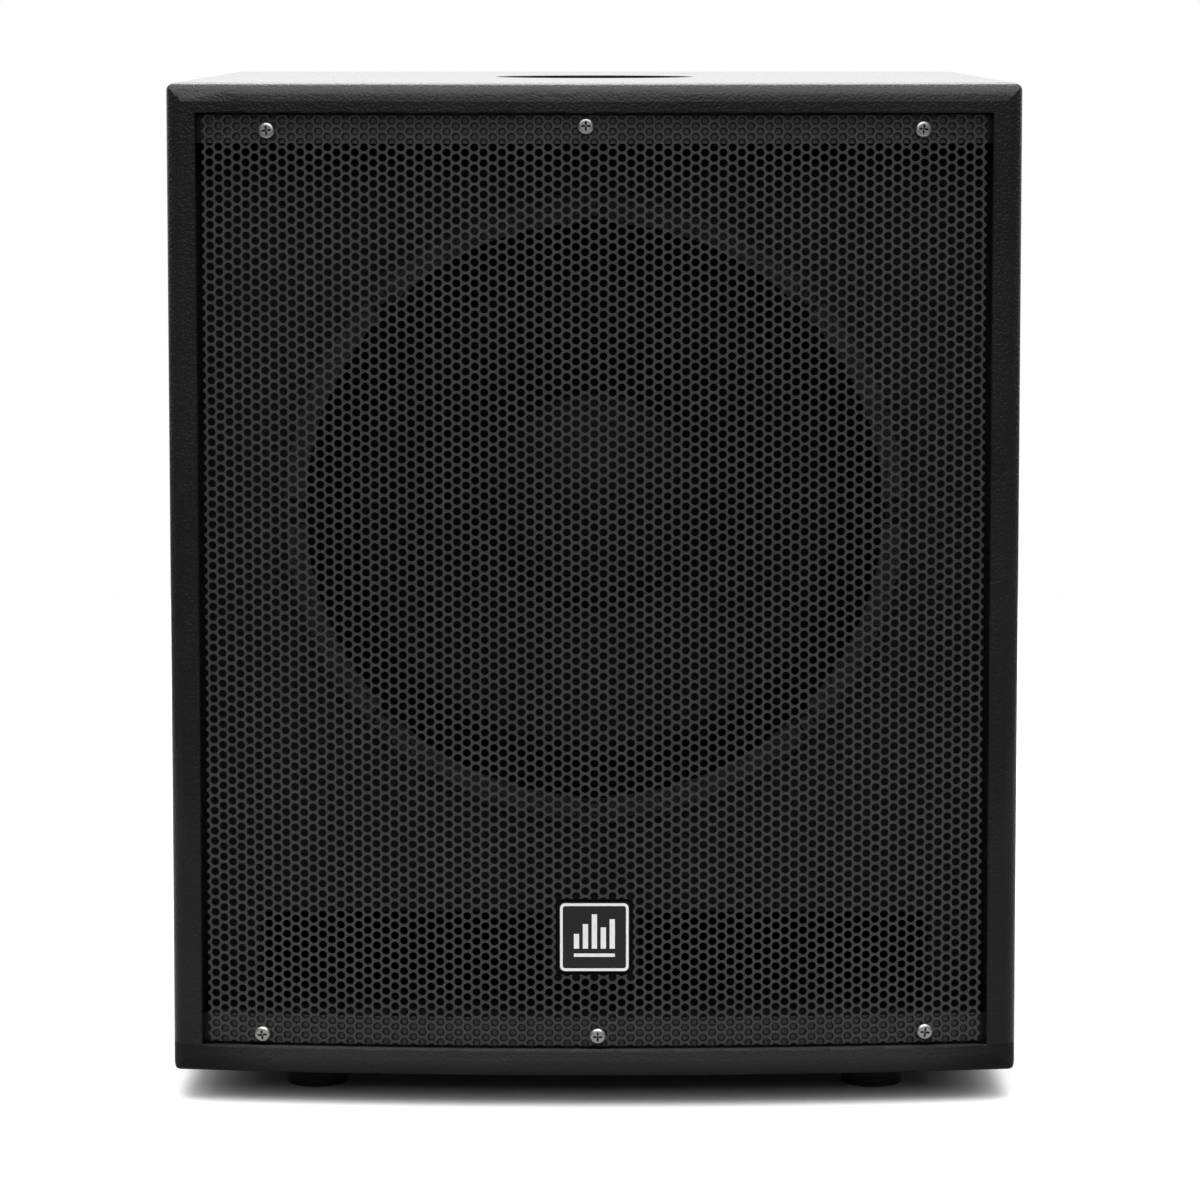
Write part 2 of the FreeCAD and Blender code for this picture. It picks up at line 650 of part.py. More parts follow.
def driver_parts():
    lips = (CONE_R, ROLLS_R[0], ROLLS_R[1], SEAT_R)
    parts = {
        "driver_basket": basket(),
        "driver_gasket": gasket(),
        "surround": rolled_ring(lips, FLANGE_FACE_Y, 1.0, 3, 4.0),
        "spider": rolled_ring((COIL_R + 0.3, 42, 84, 92), SPIDER_Y - 0.8, 0.8, 6, 2.5),
        "cone": cone(),
        "dust_cap": dust_cap(),
        "driver_terminals": terminals(),
        "speaker_cable": cable(CABLE_ROUTE, CABLE_R),
    }
    parts.update(driver_fasteners())
    parts.update(motor())
    return parts


# ---- pole mount and feet ----
def pole_mount():
    """A top-hat socket for a speaker pole, closed at its lower end."""
    seat, top = POLE_SEAT_Z, POLE_FLANGE_Z
    bottom = seat - POLE_SOCKET_DEPTH
    flange = rod(POLE_RECESS_R - 1, up(seat), up(top))
    barrel = rod(POLE_TUBE_R, up(bottom - 4), up(seat + OVERLAP))
    bore = rod(POLE_R, up(bottom), up(top + 1))
    lead_in = Part.makeCone(POLE_R, POLE_R + POLE_FLANGE, POLE_FLANGE, up(seat))
    holes = [placed(countersunk_hole(6), p, Z_AXIS) for p in pole_screw_places(top)]
    return flange.fuse(barrel).cut([bore, lead_in] + holes).removeSplitter()


def feet():
    body = Part.makeCone(FOOT_R - 1.5, FOOT_R, FOOT_H)
    base = [e for e in body.Edges if e.BoundBox.ZMax < 0.01]
    body = body.makeFillet(1.2, base)
    hollow = rod(FOOT_RECESS, up(-1), up(FOOT_RECESS))
    body = body.cut([hollow, rod(FOOT_SCREW_R + SLIP, up(0), up(FOOT_H + 2))])
    names = ("foot_front_left", "foot_front_right", "foot_rear_left", "foot_rear_right")
    screw = pan_screw(5, 3, FOOT_SCREW_R, 24)
    parts = {name: placed(body, p, Z_AXIS) for name, p in zip(names, foot_places())}
    parts["foot_screws"] = group([placed(screw, p + up(FOOT_RECESS), -Z_AXIS) for p in foot_places()])
    return parts


# ---- side handles ----
def handle_screw_places():
    """Screw heads on the left handle's flange."""
    half_y, half_z = HANDLE_FLANGE_HALF
    columns, rows = span(0, half_y - 10), span(0, half_z - 11)
    spots = [(y, z) for y in columns for z in (rows[0], 0, rows[1])] + [(0, z) for z in rows]
    return [Vector(HANDLE_FACE_X, y, HANDLE_Z + z) for y, z in spots]


def left_handle():
    """A moulded pocket with a grip bar across its mouth."""
    half_y, half_z, depth = HANDLE_POCKET
    flange_y, flange_z = HANDLE_FLANGE_HALF
    side, face = -WIDTH / 2, HANDLE_FACE_X
    inner = side + depth
    flange = rounded_box((face, side), span(0, flange_y), span(HANDLE_Z, flange_z), X_AXIS, 14)
    rim = [e for e in flange.Edges if e.BoundBox.XMax < face + 0.01]
    flange = flange.makeFillet(1.2, rim)

    def pocket(grow, x):
        block = rounded_box(x, span(0, half_y + grow), span(HANDLE_Z, half_z + grow), X_AXIS, 10 + grow)
        floor = [e for e in block.Edges if e.BoundBox.XMin > x[1] - 0.01]
        return block.makeFillet(8 + grow, floor)

    outer = pocket(HANDLE_WALL, (side - 0.5, inner + HANDLE_WALL))
    hollow = pocket(0, (face - 5, inner))
    grip_x = (side + 1, side + 1 + GRIP_DEPTH)
    grip = rounded_box(grip_x, span(0, half_y + 1), span(HANDLE_Z, GRIP_HALF_H), Y_AXIS, 11)
    holes = [placed(countersunk_hole(20.5), p, -X_AXIS) for p in handle_screw_places()]
    return flange.fuse(outer).cut(hollow).fuse(grip).cut(holes).removeSplitter()


def handles_and_screws():
    handle = left_handle()
    long_screw, short_screw = countersunk_screw(20), countersunk_screw(14)
    left = [placed(long_screw, p, -X_AXIS) for p in handle_screw_places()]
    right = [mirrored(s) for s in left]
    pole = [placed(short_screw, p, Z_AXIS) for p in pole_screw_places(POLE_FLANGE_Z)]
    return {
        "handle_left": handle,
        "handle_right": mirrored(handle),
        "countersunk_screws": group(left + right + pole),
    }


# ---- amplifier module in the rear ----
def amp_plate():
    plate = rounded_box(span(0, AMP_HALF_W), (BACK_Y, PLATE_FACE_Y), AMP_Z, Y_AXIS, 6)
    through = (BACK_Y - 1, PLATE_FACE_Y + 1)
    round_holes = [(BUSH_R + SLIP, x, CONTROL_Z) for x in KNOBS.values()]
    round_holes += [(BUTTON_R + BUTTON_ROOM, PHASE_X, CONTROL_Z)]
    round_holes += [(LENS_R + SLIP, x, CONTROL_Z) for x in LENS_X]
    round_holes += [(SOCKET_R + SLIP, x, SOCKET_Z) for x in INPUT_X + OUTPUT_X]
    round_holes += [(WOOD_SCREW_R + SLIP, p.x, p.z) for p in amp_screw_places()]
    holes = [rear_rod(r, x, z, through) for r, x, z in round_holes]
    holes.append(inlet_block(0.2, through))
    holes.append(rocker_block(0.2, through))
    return plate.cut(holes)


def amp_chassis():
    """A folded sheet tray behind the plate."""
    half_w, z_low, z_high = AMP_CUT
    gap, wall = 2, TRAY_WALL
    outer = box(span(0, half_w - gap), (TRAY_Y, BACK_Y), (z_low + gap, z_high - gap))
    gap += wall
    inner = box(span(0, half_w - gap), (TRAY_Y + wall, BACK_Y + 1), (z_low + gap, z_high - gap))
    cable_end = Vector(*CABLE_ROUTE[-1])
    grommet_hole = rod(CABLE_R + 2.5, cable_end - Y_AXIS * 8, cable_end + Y_AXIS)
    return outer.cut([inner, grommet_hole])


def heatsink():
    """A finned extrusion bolted to the upper half of the plate."""
    base = PLATE_FACE_Y + 4
    body = box(span(0, HEATSINK_HALF_W), (PLATE_FACE_Y, base), HEATSINK_Z)
    pitch = (2 * HEATSINK_HALF_W - FIN) / (FINS - 1)
    lefts = [-HEATSINK_HALF_W + i * pitch for i in range(FINS)]
    blades = [box((x, x + FIN), (base - 0.5, PLATE_FACE_Y + FIN_H), HEATSINK_Z) for x in lefts]
    return body.fuse(blades).removeSplitter()


def amp_board():
    """The control board with its largest parts."""
    board = box((-102, 102), (BOARD_Y, BOARD_FACE_Y), (174, 332))
    parts = [board]
    parts += [rear_rod(15, x, 212, (BOARD_Y - 40, BOARD_Y)) for x in (-70, -30)]
    parts += [rear_rod(6, x, 310, (BOARD_Y - 20, BOARD_Y)) for x in (20, 38, 56)]
    parts.append(box((10, 38), (BOARD_Y - 18, BOARD_Y), (190, 206)))
    parts.append(box((-90, -20), (BOARD_Y - 30, BOARD_Y), (270, 276)))
    return group(parts)


def transformer():
    """A toroid with its clamping disc, on the floor of the tray."""
    start = Vector(TRANSFORMER_X, TRAY_Y + TRAY_WALL, TRANSFORMER_Z)
    end = start + Y_AXIS * TRANSFORMER_H
    ring = rod(TRANSFORMER_R, start, end).cut(rod(14, start, end))
    rims = [e for e in ring.Edges if e.BoundBox.YLength < 0.01 and e.BoundBox.XLength > TRANSFORMER_R]
    disc = rod(26, end, end + Y_AXIS * 2)
    return group([ring.makeFillet(8, rims), disc])


def knob():
    """A fluted knob, made along +Z from its skirt. Its pointer is towards -Y, which the plate has on top."""
    height, r = KNOB_H, KNOB_R
    body = Part.makeCone(r, r - 1.2, height)
    body = body.makeFillet(1.0, [e for e in body.Edges if e.BoundBox.ZMin > height - 0.01])
    flute = rod(1.3, Vector(r + 0.6, 0, 3), Vector(r - 0.6, 0, height + 1))
    flutes = [flute.rotated(up(0), Z_AXIS, 18 * i + 9) for i in range(20)]
    bore = rod(SHAFT_R + RUNNING, up(-1), up(10))
    pointer = box(span(0, 0.7), (2 - r, -2), (height - 0.5, height + 0.6))
    return body.cut(flutes + [bore]).fuse(pointer).removeSplitter()


def controls():
    parts, bodies = {}, []
    shape = knob()
    seat = PLATE_FACE_Y + 1.5
    for name, x in KNOBS.items():
        parts[f"{name}_knob"] = placed(shape, Vector(x, seat, CONTROL_Z), Y_AXIS)
        parts[f"{name}_shaft"] = rear_rod(SHAFT_R, x, CONTROL_Z, (BACK_Y - 14, seat + 9.5))
        case = box(span(x, 8.5), (BOARD_FACE_Y, BACK_Y - 6), span(CONTROL_Z, 8.5))
        bush = rear_rod(BUSH_R, x, CONTROL_Z, (BACK_Y - 6.1, PLATE_FACE_Y + 1))
        bore = rear_rod(SHAFT_R + RUNNING, x, CONTROL_Z, (BACK_Y - 14.2, PLATE_FACE_Y + 2))
        bodies.append(case.fuse(bush).cut(bore).removeSplitter())
    parts["pot_bodies"] = group(bodies)

    button = rear_rod(BUTTON_R, PHASE_X, CONTROL_Z, (BACK_Y - 8, PLATE_FACE_Y + 4))
    rim = [e for e in button.Edges if e.BoundBox.YMin > PLATE_FACE_Y + 3.9]
    parts["phase_button"] = button.makeFillet(0.8, rim)
    switch = box(span(PHASE_X, 6.5), (BOARD_FACE_Y, BACK_Y - 2), span(CONTROL_Z, 6.5))
    well = rear_rod(BUTTON_R + BUTTON_ROOM, PHASE_X, CONTROL_Z, (BACK_Y - 11, BACK_Y))
    parts["phase_switch_body"] = switch.cut(well)

    lenses = []
    for x in LENS_X:
        lens = rear_rod(LENS_R, x, CONTROL_Z, (BACK_Y, PLATE_FACE_Y + 2))
        tip = [e for e in lens.Edges if e.BoundBox.YMin > PLATE_FACE_Y + 1.9]
        lenses.append(lens.makeFillet(1.6, tip))
    parts["indicator_lenses"] = group(lenses)
    return parts


def socket_shell(x):
    """A D-size socket: a square flange with rounded corners on a round body."""
    flange = rounded_box(span(x, 13), (PLATE_FACE_Y, SOCKET_FACE_Y), span(SOCKET_Z, 15.5), Y_AXIS, 3)
    return flange.fuse(rear_rod(SOCKET_R, x, SOCKET_Z, (BOARD_FACE_Y, PLATE_FACE_Y + OVERLAP)))


def sockets():
    """Inputs take a jack plug, or a three-pin plug round it; outputs have a well with three pins."""
    mouth, well = SOCKET_FACE_Y + 1, (SOCKET_FACE_Y - SOCKET_DEPTH, SOCKET_FACE_Y + 1)
    inputs, outputs = [], []
    for x in INPUT_X:
        groove = rear_rod(9.8, x, SOCKET_Z, well).cut(rear_rod(7.6, x, SOCKET_Z, well))
        jack = rear_rod(JACK_R, x, SOCKET_Z, (SOCKET_FACE_Y - JACK_DEPTH, mouth))
        holes = [rear_rod(1.3, px, pz, (SOCKET_FACE_Y - 12, mouth)) for px, pz in pin_places(x)]
        inputs.append(socket_shell(x).cut([groove, jack] + holes).removeSplitter())
    for x in OUTPUT_X:
        pin_y = (SOCKET_FACE_Y - SOCKET_DEPTH - 0.5, SOCKET_FACE_Y - 2)
        pins = [rear_rod(1.2, px, pz, pin_y) for px, pz in pin_places(x)]
        outputs.append(socket_shell(x).cut(rear_rod(9.6, x, SOCKET_Z, well)).fuse(pins).removeSplitter())
    return {"signal_inputs": group(inputs), "signal_outputs": group(outputs)}


def pin_places(x):
    """The three contacts of a socket, on a circle about its middle."""
    angles = [math.radians(90 + 120 * i) for i in range(3)]
    return [(x + PIN_CIRCLE_R * math.cos(a), SOCKET_Z + PIN_CIRCLE_R * math.sin(a)) for a in angles]


def inlet_block(grow, y):
    """The body outline of the mains inlet."""
    return rounded_box(span(INLET_X, 14 + grow), y, span(INLET_Z, 10.5 + grow), Y_AXIS, 3)


def mains_inlet():
    face = PLATE_FACE_Y + 2.5
    flange = rounded_box(span(INLET_X, 24), (PLATE_FACE_Y, face), span(INLET_Z, 13), Y_AXIS, 5)
    body = inlet_block(0, (BOARD_FACE_Y, PLATE_FACE_Y + OVERLAP))
    cavity = rounded_box(span(INLET_X, 12), (face - 17, face + 1), span(INLET_Z, 8.2), Y_AXIS, 2)
    pins = []
    for dx, dz in ((-7, -1.5), (0, 2.5), (7, -1.5)):
        pins.append(box(span(INLET_X + dx, 1), (face - 17.5, face - 3), span(INLET_Z + dz, 2)))
    ear_holes = [rear_rod(1.7, INLET_X + x, INLET_Z, (face - 3, face + 1)) for x in (-20, 20)]
    return flange.fuse(body).cut([cavity] + ear_holes).fuse(pins).removeSplitter()


def rocker_block(grow, y):
    """The body outline of the rocker switch's housing."""
    return box(span(ROCKER_X, 8 + grow), y, span(ROCKER_Z, 12 + grow))


def rocker_parts():
    """A rocker at rest on its off side, on pins in the cheeks of its housing."""
    pivot_y = PLATE_FACE_Y - 2
    bezel_y = (PLATE_FACE_Y, PLATE_FACE_Y + 2)
    bezel = rounded_box(span(ROCKER_X, 9.5), bezel_y, span(ROCKER_Z, 14), Y_AXIS, 1.5)
    body = rocker_block(0, (BACK_Y - 16, PLATE_FACE_Y + OVERLAP))
    room = box(span(ROCKER_X, ROCKER_HALF_W + 0.4), (BACK_Y - 13, PLATE_FACE_Y + 3), span(ROCKER_Z, 10.8))
    reach = ROCKER_HALF_W + 1.6
    pivot = Vector(ROCKER_X, pivot_y, ROCKER_Z)
    along = X_AXIS * (reach + 0.4)
    pin_hole = rod(ROCKER_PIN_R + RUNNING, pivot - along, pivot + along)
    housing = bezel.fuse(body).cut([room, pin_hole]).removeSplitter()

    half_l = ROCKER_HALF_L
    outline = [(-3, -5), (2, -half_l), (7, -half_l), (5, 0), (7, half_l), (2, half_l), (-3, 5)]
    start_x = ROCKER_X - ROCKER_HALF_W
    corners = [Vector(start_x, pivot_y + y, ROCKER_Z + z) for y, z in outline]
    pins = rod(ROCKER_PIN_R, pivot - X_AXIS * reach, pivot + X_AXIS * reach)
    rocker = prism(corners, X_AXIS * 2 * ROCKER_HALF_W).fuse(pins).removeSplitter()
    rocker.rotate(pivot, X_AXIS, -ROCKER_TILT)
    return {"power_rocker": rocker, "rocker_housing": housing}


def amp_parts():
    parts = {
        "amp_plate": amp_plate(),
        "amp_chassis": amp_chassis(),
        "amp_heatsink": heatsink(),
        "amp_board": amp_board(),
        "amp_transformer": transformer(),
        "mains_inlet": mains_inlet(),
    }
    parts.update(controls())
    parts.update(sockets())
    parts.update(rocker_parts())
    screw = pan_screw(4, 2.4, WOOD_SCREW_R, 15)
    parts["amp_screws"] = group([placed(screw, p, Y_AXIS) for p in amp_screw_places()])
    return parts


def main():
    os.makedirs("parts", exist_ok=True)
    nodes = {}
    for made in (
        outer_boards(),
        inner_boards(),
        damping_pads(),
        grille_parts(),
        badge_parts(),
        driver_parts(),
        {"pole_mount": pole_mount()},
        feet(),
        handles_and_screws(),
        amp_parts(),
    ):
        nodes.update(made)
    for name, shape in nodes.items():
        if not shape.isValid() or not shape.Solids:
            raise ValueError(f"{name} is not a sound solid")
        shape.exportStep(f"parts/{name}.step")
    print(len(nodes), "nodes")


main()
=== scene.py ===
import json
import math

import bmesh
import bpy
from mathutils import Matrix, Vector, noise


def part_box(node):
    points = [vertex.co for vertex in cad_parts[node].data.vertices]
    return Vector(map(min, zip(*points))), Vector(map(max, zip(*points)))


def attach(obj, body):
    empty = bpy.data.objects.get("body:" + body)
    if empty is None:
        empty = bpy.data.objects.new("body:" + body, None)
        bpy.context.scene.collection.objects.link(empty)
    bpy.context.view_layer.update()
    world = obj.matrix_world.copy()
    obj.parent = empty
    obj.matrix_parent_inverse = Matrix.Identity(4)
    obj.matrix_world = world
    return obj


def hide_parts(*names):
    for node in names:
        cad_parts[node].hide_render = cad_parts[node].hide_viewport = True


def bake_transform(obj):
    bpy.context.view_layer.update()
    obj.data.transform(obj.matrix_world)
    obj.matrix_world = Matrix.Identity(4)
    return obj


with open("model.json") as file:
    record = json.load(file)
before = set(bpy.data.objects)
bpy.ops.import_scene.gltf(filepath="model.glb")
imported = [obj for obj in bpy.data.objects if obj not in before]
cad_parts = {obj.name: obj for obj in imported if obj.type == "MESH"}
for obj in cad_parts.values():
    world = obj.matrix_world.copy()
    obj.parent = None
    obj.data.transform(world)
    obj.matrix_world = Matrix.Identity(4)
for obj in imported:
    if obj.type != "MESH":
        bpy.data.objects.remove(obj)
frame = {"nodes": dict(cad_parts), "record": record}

# Looks of a subwoofer cabinet. Metres, in the frame of the CAD model: -Y is the front, +Z is up.

# ---- perforated grille ----
HOLE_STEP = 0.00622  # down a column of holes
COLUMN_STEP = 0.005485  # from one column to the next, which lies half a step lower
COLUMNS = 43  # each side of the middle one; the outermost are cut by the sheet's edges
HOLE_R = 0.00251
HOLE_SIDES = 12  # two for each side of the six-sided cell of metal round a hole
GRILLE_THICK = 0.0015
STRIPS = 3
WINDOW = 0.0464  # the side of the square opening for the badge
WELD_GRID = 1e7  # steps in a metre; outlines' points on the same step are one point

# ---- driver's soft parts ----
TURN_STEPS = 160
ROLL_STEPS = 10
SURROUND_RADII = (0.144, 0.149, 0.172, 0.178)  # inner rim, first roll, last roll, outer rim
SURROUND_ROLLS = 3
SURROUND_HEIGHT = 0.004
SURROUND_THICK = 0.001
SPIDER_RADII = (0.0388, 0.042, 0.084, 0.092)
SPIDER_ROLLS = 6
SPIDER_HEIGHT = 0.0025
SPIDER_THICK = 0.0008

# ---- wadding ----
PAD_THICK = 0.024
PAD_THINNEST = 0.02  # the least share of that, at the edges
PAD_GLUE = 0.0002  # between a pad's back and its board
PAD_GRID = (26, 70)
PAD_FLATNESS = (6, 8)  # across and up: the more, the nearer to its edges a pad stays flat
PAD_SHOULDER = 0.4  # the less, the steeper its edges
LUMPS_PER_METRE = 45
LUMP_SHARE = 0.18  # of the thickness

# ---- rear panel's print ----
UPWARDS = math.pi / 2
PRINT_THICK = 0.00012
LINE_WIDTH = 0.0005
TICKS = 11
TICK_SWEEP = math.radians(300)
TICK_R = (0.0148, 0.0176)  # where a tick starts and ends
TICK_WIDTH = 0.0006
FRAMES = (  # nodes that get an outline, and how far outside them it runs
    ("signal_inputs", 0.006),
    ("signal_outputs", 0.006),
    ("mains_inlet", 0.005),
)
BUTTON_RING_R = 0.0075
BUTTON_MARK_UP = 0.012
BUTTON_MARK_LENGTH = 0.005
LAMP_RING_R = 0.0045
LAMP_R = 0.0025
KNOB_LINE_FROM_AXIS = 0.006
KNOB_LINE_LENGTH = 0.0074
KNOB_LINE_WIDTH = 0.001
ROCKER_MARK_R = 0.0016
ROCKER_MARK_WIDTH = 0.0006
FACING = 0.7  # the least cosine for a face to look in a direction

# ---- places that materials need ----
BATTEN_SHADE_FROM = 0.2315  # painted shade: the battens are dark from here to their ends, standing in for a shaded gap
BOARD_FACE = 0.0242  # from the amplifier's plate forward to the face of its circuit board
BOARD_PARTS = 0.0245  # from the plate to the parts that stand on the board
TERMINAL_BLUR = 0.0005  # each side of where one colour gives way to the other
LENS_BLUR = 0.001

# ---- camera and studio ----
CAMERA_PLACE = (0.0034, -3.08, 0.66)
CAMERA_DOWN = math.radians(5.66)
CAMERA_LENS = 141.4
CAMERA_SHIFT = -0.1008
FLOOR_X, FLOOR_Y = (-1.6, 1.6), (-1.1, 2.2)
FLOOR_SEEN = (0.95, 0.95, 0.95)
FLOOR_BOUNCE = (0.29, 0.29, 0.29)  # its colour for the light that it throws back on the cabinet
# The room's light, by direction: where it starts and stops to change, and from what to what.
ROOM_DEPTH = (0.3, 0.85, 0.05, 1.15)  # front to back
ROOM_HORIZON = (-0.12, 0.06, 0.03, 1.0)  # the share of that, from below the horizon to above it
ROOM_HEIGHT = (0.55, 0.9, 0.0, 2.1)  # upwards
SOFTBOXES = (  # name, place, what it is aimed at, width and height, watts
    ("softbox_above", (0, -0.9, 2.6), (0, -0.5, 0), (2.8, 2.0), 50),
    ("softbox_left", (-3.0, 0.4, 2.0), (0, 0, 0.3), (2.4, 1.8), 20),
    ("softbox_right", (3.0, 0.4, 2.0), (0, 0, 0.3), (2.4, 1.8), 20),
    ("softbox_front", (0, -3.0, 2.2), (0, 0, 0.2), (3.0, 2.4), 46),
    ("softbox_behind", (0, 2.4, 2.6), (0, 0, 0.3), (1.8, 1.2), 26),
)


# ================ materials ================
class Look:
    """A material, with short calls that add nodes to it.

    Patterns are placed in metres in the CAD's frame. The larger their scale, the finer they are.
    """

    def __init__(self, name, colour, roughness, metallic=0.0, **more):
        self.material = bpy.data.materials.new(name)
        self.material.use_nodes = True
        self.tree = self.material.node_tree
        self.shader = self.tree.nodes["Principled BSDF"]
        self.shader.inputs["Base Color"].default_value = (*colour, 1)
        self.shader.inputs["Roughness"].default_value = roughness
        self.shader.inputs["Metallic"].default_value = metallic
        for socket, value in more.items():
            self.shader.inputs[socket.replace("_", " ")].default_value = value
        self.place = self.node("ShaderNodeTexCoord").outputs["Object"]
        self.height = None

    def node(self, kind, settings=None, **inputs):
        """Adds a node. An underscore in an input's name stands for a space."""
        made = self.tree.nodes.new(kind)
        for key, value in (settings or {}).items():
            setattr(made, key, value)
        for key, value in inputs.items():
            socket = made.inputs[key.replace("_", " ")]
            if isinstance(value, bpy.types.NodeSocket):
                self.tree.links.new(value, socket)
            else:
                socket.default_value = value
        return made

    def stretched(self, scale):
        """The place, with each axis scaled."""
        return self.node("ShaderNodeMapping", Vector=self.place, Scale=scale).outputs[0]

    def noise(self, scale, detail=3.0, roughness=0.5, place=None):
        made = self.node(
            "ShaderNodeTexNoise",
            Vector=place or self.place,
            Scale=scale,
            Detail=detail,
            Roughness=roughness,
        )
        return made.outputs["Fac"]

    def cells(self, scale, feature="F1", randomness=1.0):
        settings = {"feature": feature}
        made = self.node(
            "ShaderNodeTexVoronoi", settings, Vector=self.place, Scale=scale, Randomness=randomness
        )
        return made.outputs["Distance"]

    def waves(self, scale, direction, distortion=0.0, profile="SIN"):
        settings = {"bands_direction": direction, "wave_profile": profile}
        made = self.node(
            "ShaderNodeTexWave", settings, Vector=self.place, Scale=scale, Distortion=distortion
        )
        return made.outputs["Fac"]

    def spread(self, value, low, high, start=0.3, end=0.7):
        """A value between start and end, mapped to low..high."""
        settings = {"interpolation_type": "SMOOTHSTEP"}
        made = self.node("ShaderNodeMapRange", settings, Value=value)
        for key, number in (("From Min", start), ("From Max", end), ("To Min", low), ("To Max", high)):
            made.inputs[key].default_value = number
        return made.outputs["Result"]

    def maths(self, operation, a, b=0.0):
        made = self.node("ShaderNodeMath", {"operation": operation})
        for socket, value in zip(made.inputs, (a, b)):
            if isinstance(value, bpy.types.NodeSocket):
                self.tree.links.new(value, socket)
            else:
                socket.default_value = value
        return made.outputs[0]

    def colours(self, value, *stops):
        """A colour ramp over a value, from (position, colour) stops."""
        made = self.node("ShaderNodeValToRGB", Fac=value)
        ramp = made.color_ramp.elements
        while len(ramp) < len(stops):
            ramp.new(0.5)
        for element, (position, colour) in zip(ramp, stops):
            element.position = position
            element.color = (*colour, 1)
        return made.outputs["Color"]

    def along(self, axis):
        """The place's coordinate on one axis."""
        return self.node("ShaderNodeSeparateXYZ", Vector=self.place).outputs[axis]

    def from_middle(self):
        """How far a place is to the left or the right of the cabinet's middle."""
        return self.maths("ABSOLUTE", self.along("X"))

    def open_air(self, reach):
        """How free of other surfaces a place is, as far as `reach` metres."""
        return self.node("ShaderNodeAmbientOcclusion", Distance=reach).outputs["AO"]

    def paint(self, colour):
        self.tree.links.new(colour, self.shader.inputs["Base Color"])
        return self

    def tint(self, value, colour, dark=0.8, light=1.2):
        """A colour that varies a little with a value."""
        shades = [tuple(min(1.0, c * k) for c in colour) for k in (dark, light)]
        return self.paint(self.colours(value, (0.3, shades[0]), (0.7, shades[1])))

    def gloss(self, value, low, high):
        """A roughness that varies with a value."""
        self.tree.links.new(self.spread(value, low, high), self.shader.inputs["Roughness"])
        return self

    def relief(self, value, depth):
        """Bumps of a real depth; later calls add to earlier ones."""
        made = self.node("ShaderNodeBump", Height=value, Distance=depth)
        if self.height is not None:
            self.tree.links.new(self.height, made.inputs["Normal"])
        self.height = made.outputs["Normal"]
        self.tree.links.new(self.height, self.shader.inputs["Normal"])
        return self


def spatter_paint(name, colour, grain, depth, roughness, **more):
    """Paint sprayed to a pebbled texture."""
    look = Look(name, colour, roughness[0], **more)
    lumps = look.cells(grain, "SMOOTH_F1")
    fine = look.noise(grain * 2.1, 2.0, 0.6)
    look.tint(look.noise(14, 4.0), colour, 0.85, 1.15)
    look.gloss(look.noise(grain * 0.4, 3.0), *roughness)
    look.relief(look.noise(25, 2.0), depth * 1.5)
    look.relief(look.spread(lumps, 0.0, 1.0, 0.1, 0.6), depth)
    return look.relief(fine, depth * 0.6)


def powder_coat(name, colour, roughness, depth=0.00004, **more):
    """A baked coat on steel, a little uneven."""
    look = Look(name, colour, roughness[0], **more)
    look.tint(look.noise(60, 3.0), colour, 0.88, 1.12)
    look.gloss(look.noise(500, 2.0), *roughness)
    return look.relief(look.noise(1500, 2.0, 0.6), depth)


def moulded_plastic(name, colour, roughness, grain=1400, depth=0.00005):
    """Plastic with the fine grain of its mould."""
    look = Look(name, colour, roughness[0])
    look.tint(look.noise(35, 3.0), colour, 0.9, 1.1)
    look.gloss(look.noise(300, 2.0), *roughness)
    return look.relief(look.cells(grain, "SMOOTH_F1"), depth)


def metal(name, colour, roughness, scale=900):
    """Bare or plated metal with fine scratches."""
    look = Look(name, colour, roughness[0], 1.0)
    scratches = look.noise(scale, 4.0, 0.6)
    look.tint(look.noise(80, 4.0), colour, 0.85, 1.08)
    look.gloss(scratches, *roughness)
    return look.relief(scratches, 0.00001)


def cabinet_paint():
    """The boards' paint, which turns glossy when it is seen along the surface."""
    return spatter_paint(
        "cabinet_paint",
        (0.014, 0.014, 0.0142),
        grain=620,
        depth=0.00028,
        roughness=(0.26, 0.38),
        Specular_IOR_Level=0.1,
        Coat_Weight=1.0,
        Coat_IOR=1.165,
        Coat_Roughness=0.1,
    )


def baffle_paint():
    return spatter_paint(
        "baffle_paint",
        (0.007, 0.007, 0.0071),
        grain=500,
        depth=0.00012,
        roughness=(0.5, 0.65),
        Specular_IOR_Level=0.25,
    )


def bottom_paint():
    """The boards' paint without its gloss, with painted shade: darker towards the sides and black in
    the corner under the grille.
    """
    look = spatter_paint(
        "bottom_paint",
        (0.034, 0.034, 0.034),
        grain=620,
        depth=0.0002,
        roughness=(0.3, 0.42),
        Specular_IOR_Level=0.05,
    )
    # painted shade: black where other surfaces lie close, as in the corner under the grille
    painted_near_shade = look.colours(look.open_air(0.008), (0.6, (0, 0, 0)), (0.92, (1, 1, 1)))
    # painted shade: darker towards the sides, where the bottom corners lie in shade
    corner_shade = look.spread(look.from_middle(), 0.034, 0.014, 0.18, 0.25)
    return look.paint(look.maths("MULTIPLY", corner_shade, painted_near_shade))


def batten_paint():
    """Smooth grey paint on the battens, with painted shade: black where the grille's metal lies close
    to them, and dark at their ends.
    """
    look = Look("batten_paint", (0.03, 0.03, 0.0305), 0.45, Specular_IOR_Level=0.3)
    # painted shade: black where the grille's metal lies close, round the holes
    painted_near_shade = look.colours(look.open_air(0.002), (0.55, (0, 0, 0)), (0.86, (1, 1, 1)))
    grey = look.spread(look.noise(40, 3.0), 0.036, 0.046)
    # painted shade: dark near the battens' ends, where a gap would lie in shade
    away_from_ends = look.spread(look.from_middle(), 1.0, 0.0, BATTEN_SHADE_FROM, BATTEN_SHADE_FROM + 0.001)
    shade_mask = look.maths("MULTIPLY", away_from_ends, painted_near_shade)
    look.paint(look.maths("MULTIPLY", grey, shade_mask))
    return look.relief(look.noise(700, 3.0), 0.00004)


